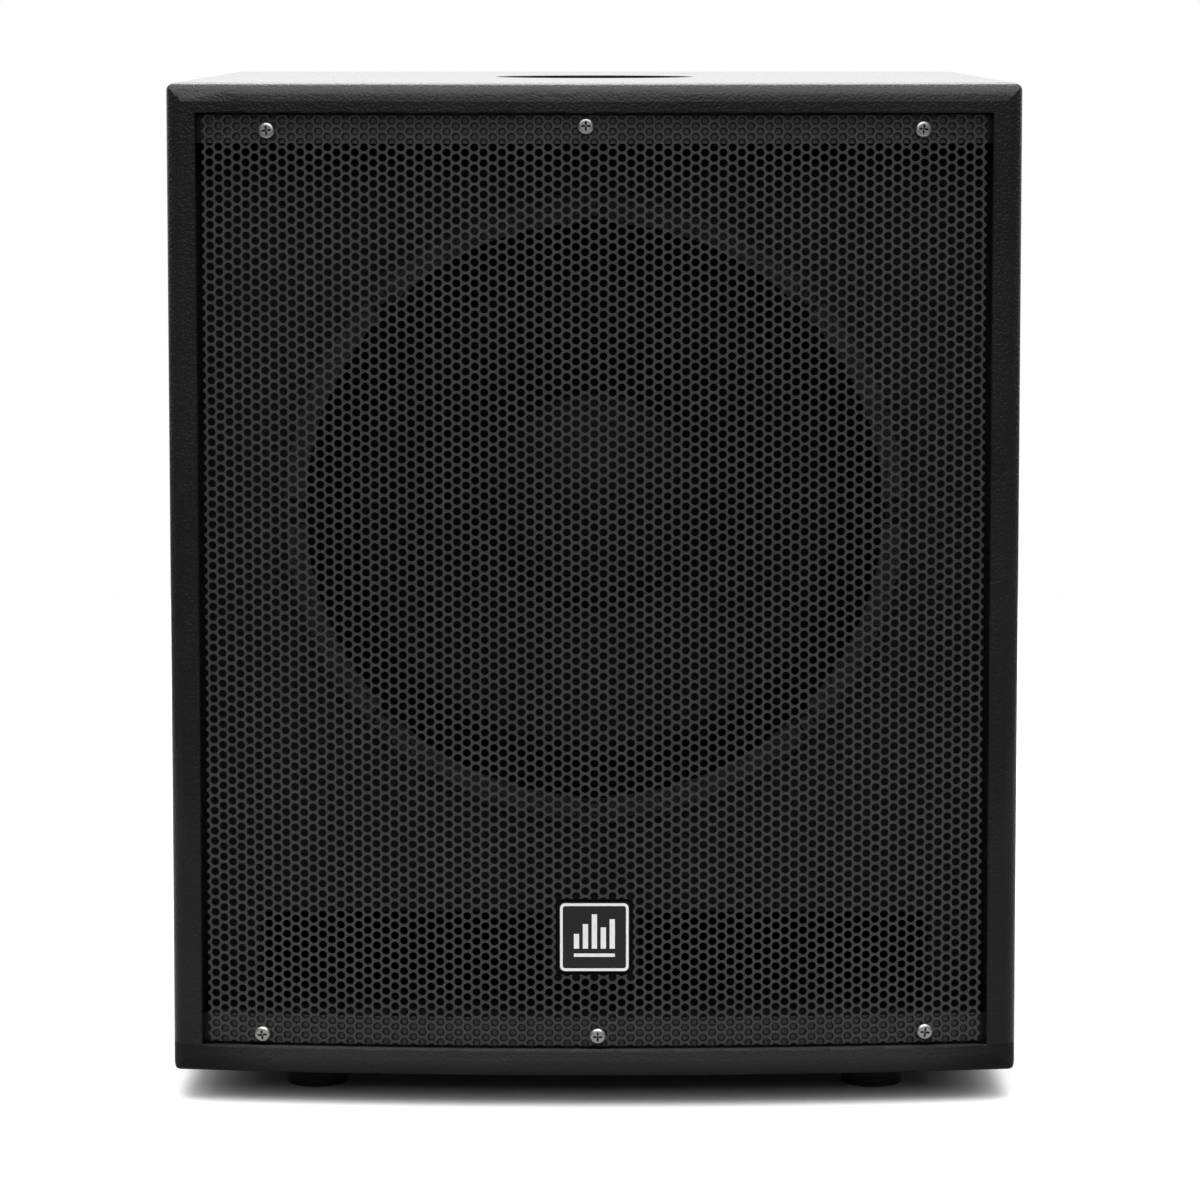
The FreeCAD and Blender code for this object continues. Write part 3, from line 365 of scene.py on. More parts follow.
def bare_plywood():
    look = Look("bare_plywood", (0.55, 0.38, 0.21), 0.6)
    grain = look.noise(60, 6.0, 0.65, look.stretched((0.12, 1, 1.6)))
    plies = look.spread(look.waves(110, "Y"), 0.7, 1.0)
    wood = look.maths("MULTIPLY", grain, plies)
    dark, middle, light = (0.33, 0.2, 0.1), (0.58, 0.4, 0.22), (0.7, 0.52, 0.31)
    look.paint(look.colours(wood, (0.2, dark), (0.5, middle), (0.8, light)))
    return look.relief(grain, 0.0002)


def wadding():
    look = Look("wadding", (0.7, 0.7, 0.68), 0.95, Sheen_Weight=0.5, Sheen_Roughness=0.6)
    fibres = look.noise(320, 8.0, 0.75)
    look.tint(fibres, (0.68, 0.68, 0.66), 0.7, 1.15)
    return look.relief(fibres, 0.0015)


def grille_steel():
    return powder_coat("grille_steel", (0.032, 0.032, 0.0325), (0.36, 0.48))


def bright_screws():
    """Plated steel, with painted shade in the screws' crosses."""
    steel, recess_shade = (0.5, 0.49, 0.48), (0.015, 0.014, 0.013)
    look = metal("bright_screws", steel, (0.3, 0.46), scale=1600)
    # painted shade: dark in the crosses' recesses, where little light reaches
    return look.paint(look.colours(look.open_air(0.002), (0.45, recess_shade), (0.85, steel)))


def badge_black():
    black = (0.0075, 0.0075, 0.0076)
    look = Look("badge_black", black, 0.35)
    brushed = look.noise(2200, 3.0, 0.6, look.stretched((0.03, 1, 1)))
    look.tint(brushed, black, 0.8, 1.25)
    return look.gloss(brushed, 0.28, 0.42)


def badge_white():
    white = (0.94, 0.94, 0.93)
    look = Look("badge_white", white, 0.4)
    look.tint(look.noise(300, 3.0), white, 0.97, 1.03)
    return look.relief(look.noise(2500, 2.0), 0.00002)


def black_sheet():
    """The retainer behind the badge."""
    return powder_coat("black_sheet", (0.003, 0.003, 0.003), (0.6, 0.75), Specular_IOR_Level=0.1)


def basket_steel():
    return powder_coat("basket_steel", (0.008, 0.008, 0.0085), (0.34, 0.48), Specular_IOR_Level=0.3)


def gasket_cork():
    look = Look("gasket_cork", (0.03, 0.0295, 0.029), 0.6, Specular_IOR_Level=0.35)
    crumbs = look.cells(700)
    light, dark = (0.045, 0.0435, 0.042), (0.016, 0.0155, 0.015)
    look.paint(look.colours(crumbs, (0.1, light), (0.6, dark)))
    return look.relief(crumbs, 0.0003)


def black_screws():
    return powder_coat("black_screws", (0.025, 0.025, 0.026), (0.25, 0.4), depth=0.00002)


def zinc_steel():
    look = metal("zinc_steel", (0.62, 0.6, 0.54), (0.28, 0.45))
    yellowish, bluish = (0.6, 0.57, 0.48), (0.66, 0.67, 0.68)
    return look.paint(look.colours(look.noise(45, 3.0), (0.3, yellowish), (0.7, bluish)))


def ferrite():
    grey = (0.06, 0.06, 0.065)
    look = Look("ferrite", grey, 0.7)
    grains = look.noise(900, 5.0, 0.7)
    look.tint(grains, grey, 0.65, 1.3)
    return look.relief(grains, 0.0001)


def coil_former():
    amber = (0.5, 0.26, 0.07)
    look = Look("coil_former", amber, 0.3, Coat_Weight=0.4)
    look.tint(look.noise(70, 4.0), amber, 0.8, 1.2)
    return look.relief(look.noise(400, 2.0), 0.00002)


def copper():
    bright = (0.72, 0.34, 0.16)
    look = Look("copper", bright, 0.28, 1.0)
    turns = look.waves(550, "Y")
    look.tint(turns, bright, 0.6, 1.05)
    return look.relief(turns, 0.0002)


def pressed_paper(name, colour, roughness, **more):
    """Black paper pulp, with fibres in it."""
    look = Look(name, colour, roughness[0], **more)
    pulp = look.noise(260, 7.0, 0.7)
    fibres = look.noise(900, 4.0, 0.6, look.stretched((1, 0.3, 0.35)))
    look.tint(pulp, colour, 0.6, 1.5)
    look.gloss(pulp, *roughness)
    look.relief(pulp, 0.0004)
    return look.relief(fibres, 0.0002)


def cone_paper():
    return pressed_paper("cone_paper", (0.006, 0.006, 0.0062), (0.5, 0.7), Specular_IOR_Level=0.1)


def dome_paper():
    """The dust cap's paper, which is lacquered."""
    return pressed_paper("dome_paper", (0.007, 0.007, 0.0071), (0.4, 0.5), Specular_IOR_Level=0.13)


def woven(name, colour, thread, depth, roughness, **more):
    """Cloth whose threads run along X and Z, `thread` metres apart."""
    look = Look(name, colour, roughness[0], **more)
    one_wave_per_thread = math.pi / 10 / thread
    warp = look.waves(one_wave_per_thread, "X", 0.3)
    weft = look.waves(one_wave_per_thread, "Z", 0.3)
    weave = look.maths("MAXIMUM", warp, weft)
    worn = look.spread(look.noise(90), 0.7, 1.0)
    look.tint(look.maths("MULTIPLY", weave, worn), colour, 0.55, 1.25)
    look.gloss(look.noise(150), *roughness)
    return look.relief(weave, depth)


def surround_cloth():
    return woven(
        "surround_cloth",
        (0.003, 0.003, 0.0031),
        thread=0.0009,
        depth=0.00025,
        roughness=(0.55, 0.75),
        Specular_IOR_Level=0.12,
    )


def spider_cloth():
    return woven("spider_cloth", (0.5, 0.34, 0.14), thread=0.0008, depth=0.0003, roughness=(0.6, 0.8))


def terminal_plastic():
    """The upper terminal is red and the lower one black."""
    look = moulded_plastic("terminal_plastic", (0.04, 0.03, 0.03), (0.35, 0.5))
    low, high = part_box("driver_terminals")
    middle = (low.z + high.z) / 2
    upper = look.spread(look.along("Z"), 0.0, 1.0, middle - TERMINAL_BLUR, middle + TERMINAL_BLUR)
    black, red = (0.02, 0.02, 0.02), (0.4, 0.02, 0.015)
    return look.paint(look.colours(upper, (0.4, black), (0.6, red)))


def cable_rubber():
    look = moulded_plastic("cable_rubber", (0.02, 0.02, 0.02), (0.5, 0.65), grain=900, depth=0.00008)
    return look.relief(look.noise(60, 2.0), 0.0004)


def foot_rubber():
    look = Look("foot_rubber", (0.016, 0.016, 0.016), 0.75)
    bloom = look.noise(55, 5.0, 0.65)
    look.tint(bloom, (0.018, 0.018, 0.018), 0.7, 1.6)
    look.gloss(bloom, 0.65, 0.85)
    return look.relief(look.noise(1200, 3.0), 0.0001)


def pole_steel():
    return powder_coat("pole_steel", (0.018, 0.018, 0.018), (0.3, 0.45))


def handle_plastic():
    black = (0.017, 0.017, 0.0175)
    look = moulded_plastic("handle_plastic", black, (0.42, 0.58), grain=760, depth=0.00014)
    return look.relief(look.noise(1700, 2.0), 0.00005)


def plate_steel():
    return powder_coat("plate_steel", (0.02, 0.02, 0.0205), (0.42, 0.56), depth=0.00008)


def bare_chassis():
    """Galvanised sheet, with its spangle."""
    zinc = (0.58, 0.59, 0.6)
    look = metal("bare_chassis", zinc, (0.3, 0.5))
    spangle = look.node("ShaderNodeTexVoronoi", Vector=look.place, Scale=110).outputs["Color"]
    grey = look.node("ShaderNodeRGBToBW", Color=spangle).outputs[0]
    look.gloss(grey, 0.28, 0.5)
    return look.tint(grey, zinc, 0.8, 1.12)


def heatsink_black():
    look = Look("heatsink_black", (0.022, 0.022, 0.023), 0.38, 0.6)
    drawn = look.noise(1500, 3.0, 0.6, look.stretched((1, 1, 0.02)))
    look.tint(drawn, (0.024, 0.024, 0.025), 0.75, 1.3)
    look.gloss(drawn, 0.3, 0.48)
    return look.relief(drawn, 0.00004)


def circuit_board():
    """Green with traces, and near black on the parts that stand on it."""
    look = Look("circuit_board", (0.02, 0.16, 0.06), 0.3, Coat_Weight=0.5)
    traces = look.cells(140, "DISTANCE_TO_EDGE", 0.0)
    pads = look.cells(210)
    trace_green, board_green = (0.05, 0.3, 0.12), (0.012, 0.12, 0.045)
    board = look.colours(traces, (0.06, trace_green), (0.1, board_green))
    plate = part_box("amp_plate")[0].y
    is_part = look.spread(look.along("Y"), 1.0, 0.0, plate - BOARD_PARTS, plate - BOARD_FACE)
    mix = look.node("ShaderNodeMix", {"data_type": "RGBA"})
    look.tree.links.new(is_part, mix.inputs["Factor"])
    look.tree.links.new(board, mix.inputs["A"])
    mix.inputs["B"].default_value = (0.03, 0.03, 0.032, 1)
    look.paint(mix.outputs["Result"])
    return look.relief(look.spread(pads, 1.0, 0.0, 0.1, 0.2), 0.0002)


def transformer_wrap():
    tape = (0.55, 0.36, 0.05)
    look = Look("transformer_wrap", tape, 0.35, Coat_Weight=0.6)
    wraps = look.waves(45, "DIAGONAL", distortion=1.5, profile="SAW")
    look.tint(wraps, tape, 0.6, 1.2)
    return look.relief(wraps, 0.0004)


def knob_plastic():
    black = (0.018, 0.018, 0.018)
    return moulded_plastic("knob_plastic", black, (0.5, 0.65), grain=2200, depth=0.00004)


def switch_plastic():
    black = (0.02, 0.02, 0.02)
    return moulded_plastic("switch_plastic", black, (0.22, 0.32), grain=3000, depth=0.00001)


def housing_plastic():
    black = (0.016, 0.016, 0.0165)
    return moulded_plastic("housing_plastic", black, (0.38, 0.52), grain=1800, depth=0.00004)


def lens():
    """One indicator is red and the other green."""
    look = Look("lens", (0.1, 0.6, 0.2), 0.15, Coat_Weight=0.5)
    low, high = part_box("indicator_lenses")
    middle = (low.x + high.x) / 2
    side = look.spread(look.along("X"), 0.0, 1.0, middle - LENS_BLUR, middle + LENS_BLUR)
    red, green = (0.5, 0.02, 0.015), (0.05, 0.5, 0.12)
    look.paint(look.colours(side, (0.4, red), (0.6, green)))
    return look.relief(look.cells(900, "SMOOTH_F1"), 0.00005)


def print_white():
    white = (0.7, 0.7, 0.69)
    look = Look("print_white", white, 0.55)
    look.tint(look.noise(900, 3.0), white, 0.9, 1.08)
    return look.relief(look.noise(2500, 2.0), 0.00001)


NODE_LOOKS = {  # the nodes that don't wear their slot's finish
    "grille_batten_top": "batten_paint",
    "grille_batten_bottom": "batten_paint",
    "bottom_panel": "bottom_paint",
    "dust_cap": "dome_paper",
}
EXTRA_LOOKS = (bottom_paint, batten_paint, dome_paper, print_white)
SLOT_LOOKS = (  # each has the name of its slot
    cabinet_paint, baffle_paint, bare_plywood, wadding, grille_steel, bright_screws, badge_black,
    badge_white, black_sheet, basket_steel, gasket_cork, black_screws, zinc_steel, ferrite, coil_former,
    copper, cone_paper, surround_cloth, spider_cloth, terminal_plastic, cable_rubber, foot_rubber,
    pole_steel, handle_plastic, plate_steel, bare_chassis, heatsink_black, circuit_board,
    transformer_wrap, knob_plastic, switch_plastic, housing_plastic, lens,
)


def dress_cad_nodes(looks):
    """Gives each CAD node the finish of its material slot, or its own."""
    for part in frame["record"]["subparts"]:
        mesh = frame["nodes"][part["node"]].data
        look = looks[NODE_LOOKS.get(part["node"], part["material_slot"])]
        mesh.materials.clear()
        mesh.materials.append(look.material)


# ================ mesh helpers ================
def mesh_piece(name, verts, faces, look, smooth=False):
    mesh = bpy.data.meshes.new(name)
    mesh.from_pydata(verts, [], faces)
    mesh.materials.append(look.material)
    if smooth:
        mesh.shade_smooth()
    mesh.update()
    piece = bpy.data.objects.new(name, mesh)
    bpy.context.scene.collection.objects.link(piece)
    return piece


# ================ grille ================
def bow_radius():
    """The radius of the grille's back face, from its width and how far back its ends lie."""
    low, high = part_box("grille")
    sag = high.y - (low.y + GRILLE_THICK)
    return (high.x**2 + sag**2) / (2 * sag)


def clip(outline, axis, limit, side):
    """The part of a convex outline where side * coordinate is at most side * limit."""
    kept = []
    for a, b in zip(outline, outline[1:] + outline[:1]):
        da, db = side * (a[axis] - limit), side * (b[axis] - limit)
        if da <= 0:
            kept.append(a)
        if (da < 0) != (db < 0) and da != db:
            t = da / (da - db)
            if 0 < t < 1:
                kept.append((a[0] + (b[0] - a[0]) * t, a[1] + (b[1] - a[1]) * t))
    return kept if len(kept) > 2 else []


def clip_box(outline, low, high):
    """The part of a convex outline inside a box."""
    for axis in (0, 1):
        outline = clip(outline, axis, high[axis], 1)
        outline = clip(outline, axis, low[axis], -1)
    return outline


def outside_box(outline, low, high):
    """What is left of a convex outline outside a box, as convex outlines."""
    if not clip_box(outline, low, high):
        return [outline]
    left = clip(outline, 0, low[0], 1)
    right = clip(outline, 0, high[0], -1)
    middle = clip(clip(outline, 0, high[0], 1), 0, low[0], -1)
    below = clip(middle, 1, low[1], 1)
    above = clip(middle, 1, high[1], -1)
    return [part for part in (left, right, below, above) if part]


def cell_faces(x, z):
    """The metal round one hole, as triangles between its outline and the middle lines of the webs."""
    half = HOLE_STEP / 2
    tip = (COLUMN_STEP**2 + half**2) / (2 * COLUMN_STEP)
    shoulder = (COLUMN_STEP**2 - half**2) / (2 * COLUMN_STEP)
    upper = [(tip, 0), (shoulder, half), (-shoulder, half)]
    lower = [(-tip, 0), (-shoulder, -half), (shoulder, -half)]
    rim = [(x + dx, z + dz) for dx, dz in upper + lower]
    turns = [2 * math.pi * i / HOLE_SIDES for i in range(HOLE_SIDES)]
    hole = [(x + HOLE_R * math.cos(a), z + HOLE_R * math.sin(a)) for a in turns]
    faces = []
    for i in range(len(rim)):
        corner, following = rim[i], rim[(i + 1) % len(rim)]
        start, middle, end = hole[2 * i], hole[2 * i + 1], hole[(2 * i + 2) % HOLE_SIDES]
        faces += [[corner, following, middle], [corner, middle, start], [following, end, middle]]
    return faces


def inside(place, low, high, margin):
    """Whether a place is in a box that is smaller by a margin on each side."""
    return all(low[i] + margin < place[i] < high[i] - margin for i in (0, 1))


def sheet_faces(columns, low, high, window):
    """Flat outlines of the metal in some columns of cells, cut to the sheet and its window."""
    middle_z = (window[0][1] + window[1][1]) / 2
    faces = []
    for column in columns:
        x = column * COLUMN_STEP
        offset = middle_z + (HOLE_STEP / 2 if column % 2 else 0)
        first_row = math.floor((low[1] - offset) / HOLE_STEP)
        last_row = math.ceil((high[1] - offset) / HOLE_STEP)
        for row in range(first_row, last_row + 1):
            z = offset + row * HOLE_STEP
            cell = cell_faces(x, z)
            if not inside((x, z), low, high, HOLE_STEP):
                clipped = [clip_box(face, low, high) for face in cell]
                cell = [part for part in clipped if part]
            if inside((x, z), *window, -HOLE_STEP):
                cell = [part for face in cell for part in outside_box(face, *window)]
            faces += cell
    return faces


def weld(outlines):
    """The outlines' points, each only once, and faces as lists of the points' numbers."""
    numbers, points, faces = {}, [], []
    for outline in outlines:
        face = []
        for x, z in outline:
            key = (round(x * WELD_GRID), round(z * WELD_GRID))
            if key not in numbers:
                numbers[key] = len(points)
                points.append((x, z))
            if numbers[key] not in face:
                face.append(numbers[key])
        if len(face) > 2:
            faces.append(face)
    return points, faces


def thicken(points, faces, bend):
    """A closed sheet: front faces, back faces and a wall along every free edge."""
    count = len(points)
    verts = [bend(x, z, depth) for depth in (0.0, GRILLE_THICK) for x, z in points]
    used = set()
    for face in faces:
        used.update(zip(face, face[1:] + face[:1]))
    walls = [(b, a, a + count, b + count) for a, b in sorted(used) if (b, a) not in used]
    backs = [[i + count for i in reversed(face)] for face in faces]
    return verts, faces + backs + walls


def grille(looks):
    """The perforated sheet, in upright strips that meet along the middle lines of webs."""
    radius = bow_radius()
    box_low, box_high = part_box("grille")
    centre_y = box_low.y + GRILLE_THICK + radius
    half_arc = radius * math.asin(box_high.x / radius)
    badge_low, badge_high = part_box("badge_plate")
    badge = (badge_low + badge_high) / 2
    window = [(badge.x + side * WINDOW / 2, badge.z + side * WINDOW / 2) for side in (-1, 1)]

    def bend(x, z, depth):
        """Where a place on the flat sheet comes to lie, `depth` behind its front."""
        angle = x / radius
        r = radius + GRILLE_THICK - depth
        return (r * math.sin(angle), centre_y - r * math.cos(angle), z)

    low, high = (-half_arc, box_low.z), (half_arc, box_high.z)
    per_strip = math.ceil((2 * COLUMNS + 1) / STRIPS)
    for strip in range(STRIPS):
        first = -COLUMNS + strip * per_strip
        columns = range(first, min(first + per_strip, COLUMNS + 1))
        points, faces = weld(sheet_faces(columns, low, high, window))
        verts, faces = thicken(points, faces, bend)
        piece = mesh_piece(f"grille_strip_{strip + 1}", verts, faces, looks["grille_steel"])
        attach(piece, "root")
        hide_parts("grille")


# ================ driver's soft parts ================
def roll_profile(radii, y, rolls, height, thick):
    """The (radius, y) outline of a corrugated ring: front from inside to outside, then back."""
    r_in, lip_in, lip_out, r_out = radii
    step = (lip_out - lip_in) / rolls
    offsets = [(r_in, 0.0)]
    for i in range(rolls):
        forward = -1 if i % 2 == 0 else 1
        for k in range(ROLL_STEPS):
            t = k / ROLL_STEPS
            offsets.append((lip_in + (i + t) * step, forward * height * math.sin(math.pi * t)))
    offsets += [(lip_out, 0.0), (r_out, 0.0)]
    front = [(r, y + dy) for r, dy in offsets]
    return front + [(r, y + dy + thick) for r, dy in reversed(offsets)]


def turned_piece(name, profile, axis_z, look):
    """A closed ring turned about the driver's axis."""
    verts, faces = [], []
    count = len(profile)
    for i in range(TURN_STEPS):
        angle = 2 * math.pi * i / TURN_STEPS
        verts += [(r * math.cos(angle), y, axis_z + r * math.sin(angle)) for r, y in profile]
        here, following = i * count, (i + 1) % TURN_STEPS * count
        for k in range(count):
            along = (k + 1) % count
            faces.append((here + k, here + along, following + along, following + k))
    return mesh_piece(name, verts, faces, look, smooth=True)


def follow_cone(piece):
    """Bakes a ring's placement into its mesh."""
    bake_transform(piece)


def suspension(looks):
    """The surround and the spider, turned about the driver's axis."""
    low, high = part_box("surround")
    axis_z = (low.z + high.z) / 2
    front_y = low.y + SURROUND_HEIGHT
    profile = roll_profile(SURROUND_RADII, front_y, SURROUND_ROLLS, SURROUND_HEIGHT, SURROUND_THICK)
    surround = turned_piece("surround_cloth_ring", profile, axis_z, looks["surround_cloth"])
    follow_cone(surround)
    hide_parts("surround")

    front_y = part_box("spider")[0].y + SPIDER_HEIGHT
    profile = roll_profile(SPIDER_RADII, front_y, SPIDER_ROLLS, SPIDER_HEIGHT, SPIDER_THICK)
    spider = turned_piece("spider_cloth_disc", profile, axis_z, looks["spider_cloth"])
    follow_cone(spider)
    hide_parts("spider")


# ================ wadding ================
def wadding_pads(looks):
    """A lumpy pad of wadding glued inside each side board."""
    low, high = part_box("damping_pads")
    for name, wall_x, inward in (("wadding_left", low.x, 1), ("wadding_right", high.x, -1)):
        pad = bmesh.new()
        bmesh.ops.create_grid(pad, x_segments=PAD_GRID[0], y_segments=PAD_GRID[1], size=0.5)
        verts, faces = [], []
        for vertex in pad.verts:
            u, v = vertex.co.x * 2, vertex.co.y * 2
            y = low.y + (u + 1) / 2 * (high.y - low.y)
            z = low.z + (v + 1) / 2 * (high.z - low.z)
            edge = (1 - u ** PAD_FLATNESS[0]) * (1 - v ** PAD_FLATNESS[1])
            lumps = noise.fractal(Vector((y, 0, z)) * LUMPS_PER_METRE, 0.6, 2.0, 4)
            share = edge**PAD_SHOULDER * (1 - LUMP_SHARE + LUMP_SHARE * lumps)
            rise = PAD_THICK * max(PAD_THINNEST, share)
            verts.append((wall_x + inward * rise, y, z))
        count = len(verts)
        verts += [(wall_x + inward * PAD_GLUE, y, z) for _, y, z in verts]
        border = [e for e in pad.edges if e.is_boundary]
        for face in pad.faces:
            ring = [v.index for v in face.verts]
            faces.append(ring if inward > 0 else ring[::-1])
            faces.append([i + count for i in (ring[::-1] if inward > 0 else ring)])
        for edge in border:
            a, b = (v.index for v in edge.verts)
            faces.append((a, b, b + count, a + count))
        pad.free()
        piece = mesh_piece(name, verts, faces, looks["wadding"], smooth=True)
        even_normals(piece)
        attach(piece, "root")
        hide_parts("damping_pads")


def even_normals(piece):
    """Turns all faces of a closed mesh outwards."""
    shape = bmesh.new()
    shape.from_mesh(piece.data)
    bmesh.ops.recalc_face_normals(shape, faces=shape.faces)
    shape.to_mesh(piece.data)
    shape.free()


# ================ rear panel's print ================
class Print:
    """Flat marks a hair thick on a surface, given by a point and the directions right and up on it."""

    def __init__(self, origin, right, up):
        self.origin, self.right, self.up = Vector(origin), Vector(right), Vector(up)
        self.out = self.right.cross(self.up)
        self.verts, self.faces = [], []

    def slab(self, outline):
        """A closed outline, counter-clockwise, given a thickness."""
        start, count = len(self.verts), len(outline)
        for depth in (0.0, PRINT_THICK):
            for u, v in outline:
                self.verts.append(self.origin + self.right * u + self.up * v + self.out * depth)
        self.faces.append([start + i for i in reversed(range(count))])
        self.faces.append([start + count + i for i in range(count)])
        for i in range(count):
            j = (i + 1) % count
            self.faces.append((start + i, start + j, start + count + j, start + count + i))

    def bar(self, centre, angle, length, width):
        """A bar whose long axis is at an angle from the right."""
        along = Vector((math.cos(angle), math.sin(angle)))
        across = Vector((-along.y, along.x))
        middle = Vector(centre)
        corners = [(-1, -1), (1, -1), (1, 1), (-1, 1)]
        self.slab([middle + along * a * length / 2 + across * b * width / 2 for a, b in corners])

    def ring(self, centre, radius, width, start=0.0, sweep=2 * math.pi, steps=48):
        """An arc of a ring, made of short bars that share their ends."""
        middle = Vector(centre)
        for i in range(steps):
            a, b = start + sweep * i / steps, start + sweep * (i + 1) / steps
            inner, outer = radius - width / 2, radius + width / 2
            corners = [(inner, a), (outer, a), (outer, b), (inner, b)]
            self.slab([middle + Vector((math.cos(t), math.sin(t))) * r for r, t in corners])

    def frame(self, low, high, width):
        """A rectangle's outline."""
        (x0, z0), (x1, z1) = low, high
        mid_x, mid_z = (x0 + x1) / 2, (z0 + z1) / 2
        for z in (z0, z1):
            self.bar((mid_x, z), 0.0, x1 - x0 + width, width)
        for x in (x0, x1):
            self.bar((x, mid_z), UPWARDS, z1 - z0 - width, width)

    def piece(self, name, body, looks, slot):
        """Makes one piece of all the marks so far."""
        made = mesh_piece(name, self.verts, self.faces, looks["print_white"])
        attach(made, body)


def middle_of(node):
    low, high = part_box(node)
    return (low + high) / 2


def panel_print(looks):
    """Dial ticks, and outlines round the groups of sockets, on the amplifier's plate."""
    low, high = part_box("amp_plate")
    marks = Print((0, high.y, 0), (-1, 0, 0), (0, 0, 1))
    for node in ("level_knob", "crossover_knob"):
        knob = middle_of(node)
        centre = (-knob.x, knob.z)
        marks.ring(centre, TICK_R[0] - LINE_WIDTH, LINE_WIDTH, UPWARDS - TICK_SWEEP / 2, TICK_SWEEP)
        for i in range(TICKS):
            angle = UPWARDS + TICK_SWEEP * (i / (TICKS - 1) - 0.5)
            radius = sum(TICK_R) / 2
            place = (centre[0] + radius * math.cos(angle), centre[1] + radius * math.sin(angle))
            marks.bar(place, angle, TICK_R[1] - TICK_R[0], TICK_WIDTH)
    for node, margin in FRAMES:
        box_low, box_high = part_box(node)
        frame_low = (-box_high.x - margin, box_low.z - margin)
        frame_high = (-box_low.x + margin, box_high.z + margin)
        marks.frame(frame_low, frame_high, LINE_WIDTH)
    button = middle_of("phase_button")
    marks.ring((-button.x, button.z), BUTTON_RING_R, LINE_WIDTH)
    marks.bar((-button.x, button.z + BUTTON_MARK_UP), UPWARDS, BUTTON_MARK_LENGTH, TICK_WIDTH)
    lamps_low, lamps_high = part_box("indicator_lenses")
    for x in (lamps_low.x + LAMP_R, lamps_high.x - LAMP_R):
        marks.ring((-x, button.z), LAMP_RING_R, LINE_WIDTH, steps=32)
    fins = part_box("amp_heatsink")
    divider_z = (fins[0].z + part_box("level_knob")[1].z + TICK_R[1]) / 2
    marks.bar((0, divider_z), 0.0, fins[1].x - fins[0].x, LINE_WIDTH)
    marks.piece("panel_print", "root", looks, "badge_white")


def knob_lines(looks):
    """A white line along each knob's pointer."""
    for node, body in (("level_knob", "level_control"), ("crossover_knob", "crossover_control")):
        low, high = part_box(node)
        middle = (low + high) / 2
        line = Print((0, high.y, 0), (-1, 0, 0), (0, 0, 1))
        place = (-middle.x, middle.z + KNOB_LINE_FROM_AXIS)
        line.bar(place, UPWARDS, KNOB_LINE_LENGTH, KNOB_LINE_WIDTH)
        line.piece(node + "_line", body, looks, "badge_white")


def facets(node, towards):
    """A node's flat faces that look in a direction, largest first: (area, centre, normal)."""
    found = {}
    for face in frame["nodes"][node].data.polygons:
        if face.normal.dot(towards) > FACING:
            key = tuple(round(v, 2) for v in face.normal)
            area, centre = found.get(key, (0.0, Vector()))
            found[key] = (area + face.area, centre + face.center * face.area)
    flat = []
    for key, (area, centre) in found.items():
        flat.append((area, centre / area, Vector(key).normalized()))
    return sorted(flat, key=lambda facet: -facet[0])


def rocker_marks(looks):
    """A bar on the switch's upper half and a ring on its lower half."""
    halves = sorted(facets("power_rocker", Vector((0, 1, 0)))[:2], key=lambda facet: -facet[1].z)
    right = Vector((-1, 0, 0))
    for name, (_, centre, normal) in zip(("rocker_bar", "rocker_ring"), halves):
        mark = Print(centre, right, normal.cross(right))
        if name == "rocker_bar":
            mark.bar((0, 0), UPWARDS, 2 * ROCKER_MARK_R, ROCKER_MARK_WIDTH)
        else:
            mark.ring((0, 0), ROCKER_MARK_R, ROCKER_MARK_WIDTH, steps=24)
        mark.piece(name, "power_control", looks, "badge_white")


# ================ stage, light and camera ================
def studio():
    """A pale floor in a white room, with soft boxes above, in front, to both sides and behind."""
    floor_look = Look("studio_floor", FLOOR_SEEN, 0.7)
    seen = floor_look.node("ShaderNodeLightPath").outputs["Is Camera Ray"]
    floor_look.paint(floor_look.colours(seen, (0.0, FLOOR_BOUNCE), (1.0, FLOOR_SEEN)))
    (left, right), (front, back) = FLOOR_X, FLOOR_Y
    corners = [(left, front, 0), (right, front, 0), (right, back, 0), (left, back, 0)]
    floor = mesh_piece("studio_floor", corners, [(0, 1, 2, 3)], floor_look)
    for name, place, target, size, watts in SOFTBOXES:
        softbox(name, place, target, size, watts)
    white_room()


def softbox(name, place, target, size, watts):
    """A wide soft lamp that the camera doesn't see."""
    lamp = bpy.data.lights.new(name, "AREA")
    lamp.shape = "RECTANGLE"
    lamp.size, lamp.size_y = size
    lamp.energy = watts
    lamp_object = bpy.data.objects.new(name, lamp)
    lamp_object.location = place
    direction = Vector(target) - Vector(place)
    lamp_object.rotation_euler = direction.to_track_quat("-Z", "Y").to_euler()
    lamp_object.visible_camera = False
    bpy.context.scene.collection.objects.link(lamp_object)


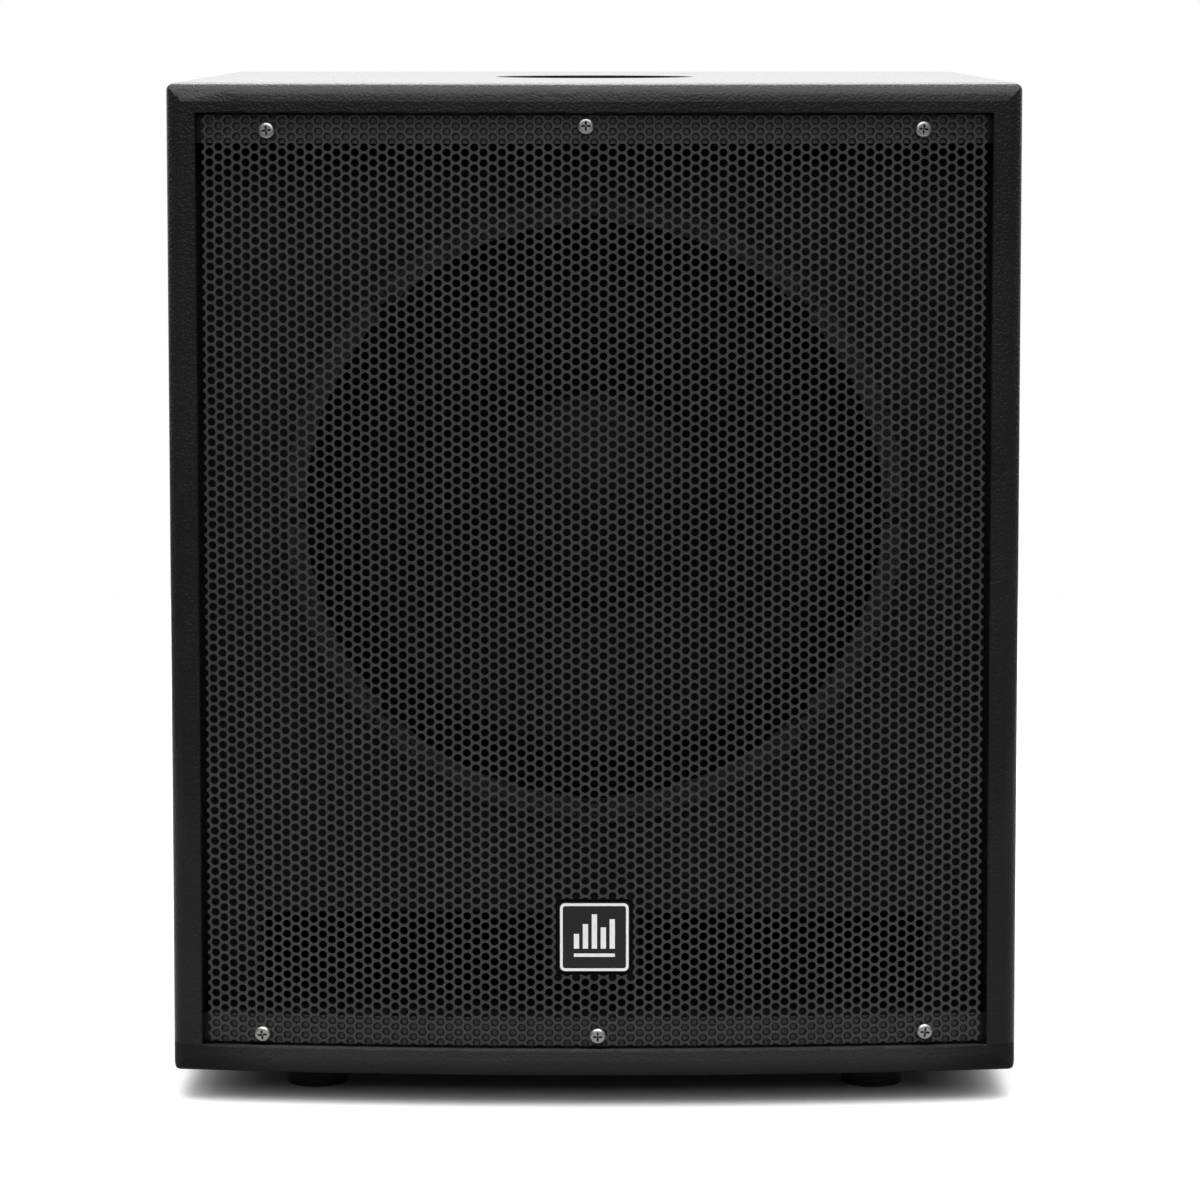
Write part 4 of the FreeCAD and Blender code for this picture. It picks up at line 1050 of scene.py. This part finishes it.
def white_room():
    """White to the camera. As a light it is bright overhead and behind, and dark in front."""
    world = bpy.data.worlds.new("white_room")
    world.use_nodes = True
    bpy.context.scene.world = world
    tree = world.node_tree
    background = tree.nodes["Background"]
    place = tree.nodes.new("ShaderNodeTexCoord")
    split = tree.nodes.new("ShaderNodeSeparateXYZ")
    tree.links.new(place.outputs["Generated"], split.inputs[0])

    def ramp(axis, start, end, low, high):
        made = tree.nodes.new("ShaderNodeMapRange")
        made.interpolation_type = "SMOOTHSTEP"
        for key, number in (("From Min", start), ("From Max", end), ("To Min", low), ("To Max", high)):
            made.inputs[key].default_value = number
        tree.links.new(split.outputs[axis], made.inputs["Value"])
        return made.outputs["Result"]

    def maths(operation, a, b):
        made = tree.nodes.new("ShaderNodeMath")
        made.operation = operation
        tree.links.new(a, made.inputs[0])
        tree.links.new(b, made.inputs[1])
        return made.outputs[0]

    seen = tree.nodes.new("ShaderNodeLightPath").outputs["Is Camera Ray"]
    behind = maths("MULTIPLY", ramp("Y", *ROOM_DEPTH), ramp("Z", *ROOM_HORIZON))
    lit = maths("MAXIMUM", behind, ramp("Z", *ROOM_HEIGHT))
    tree.links.new(maths("MAXIMUM", seen, lit), background.inputs["Strength"])
    background.inputs["Color"].default_value = (1, 1, 1, 1)


def camera():
    data = bpy.data.cameras.new("camera")
    data.lens = CAMERA_LENS
    data.shift_y = CAMERA_SHIFT
    data.clip_end = 50
    made = bpy.data.objects.new("camera", data)
    made.location = CAMERA_PLACE
    made.rotation_euler = (math.pi / 2 - CAMERA_DOWN, 0, 0)
    bpy.context.scene.collection.objects.link(made)
    bpy.context.scene.camera = made


def main():
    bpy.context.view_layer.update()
    camera()
    looks = {make.__name__: make() for make in SLOT_LOOKS + EXTRA_LOOKS}
    dress_cad_nodes(looks)
    grille(looks)
    suspension(looks)
    wadding_pads(looks)
    panel_print(looks)
    knob_lines(looks)
    rocker_marks(looks)
    studio()
    bpy.context.scene.view_settings.view_transform = "Standard"


main()
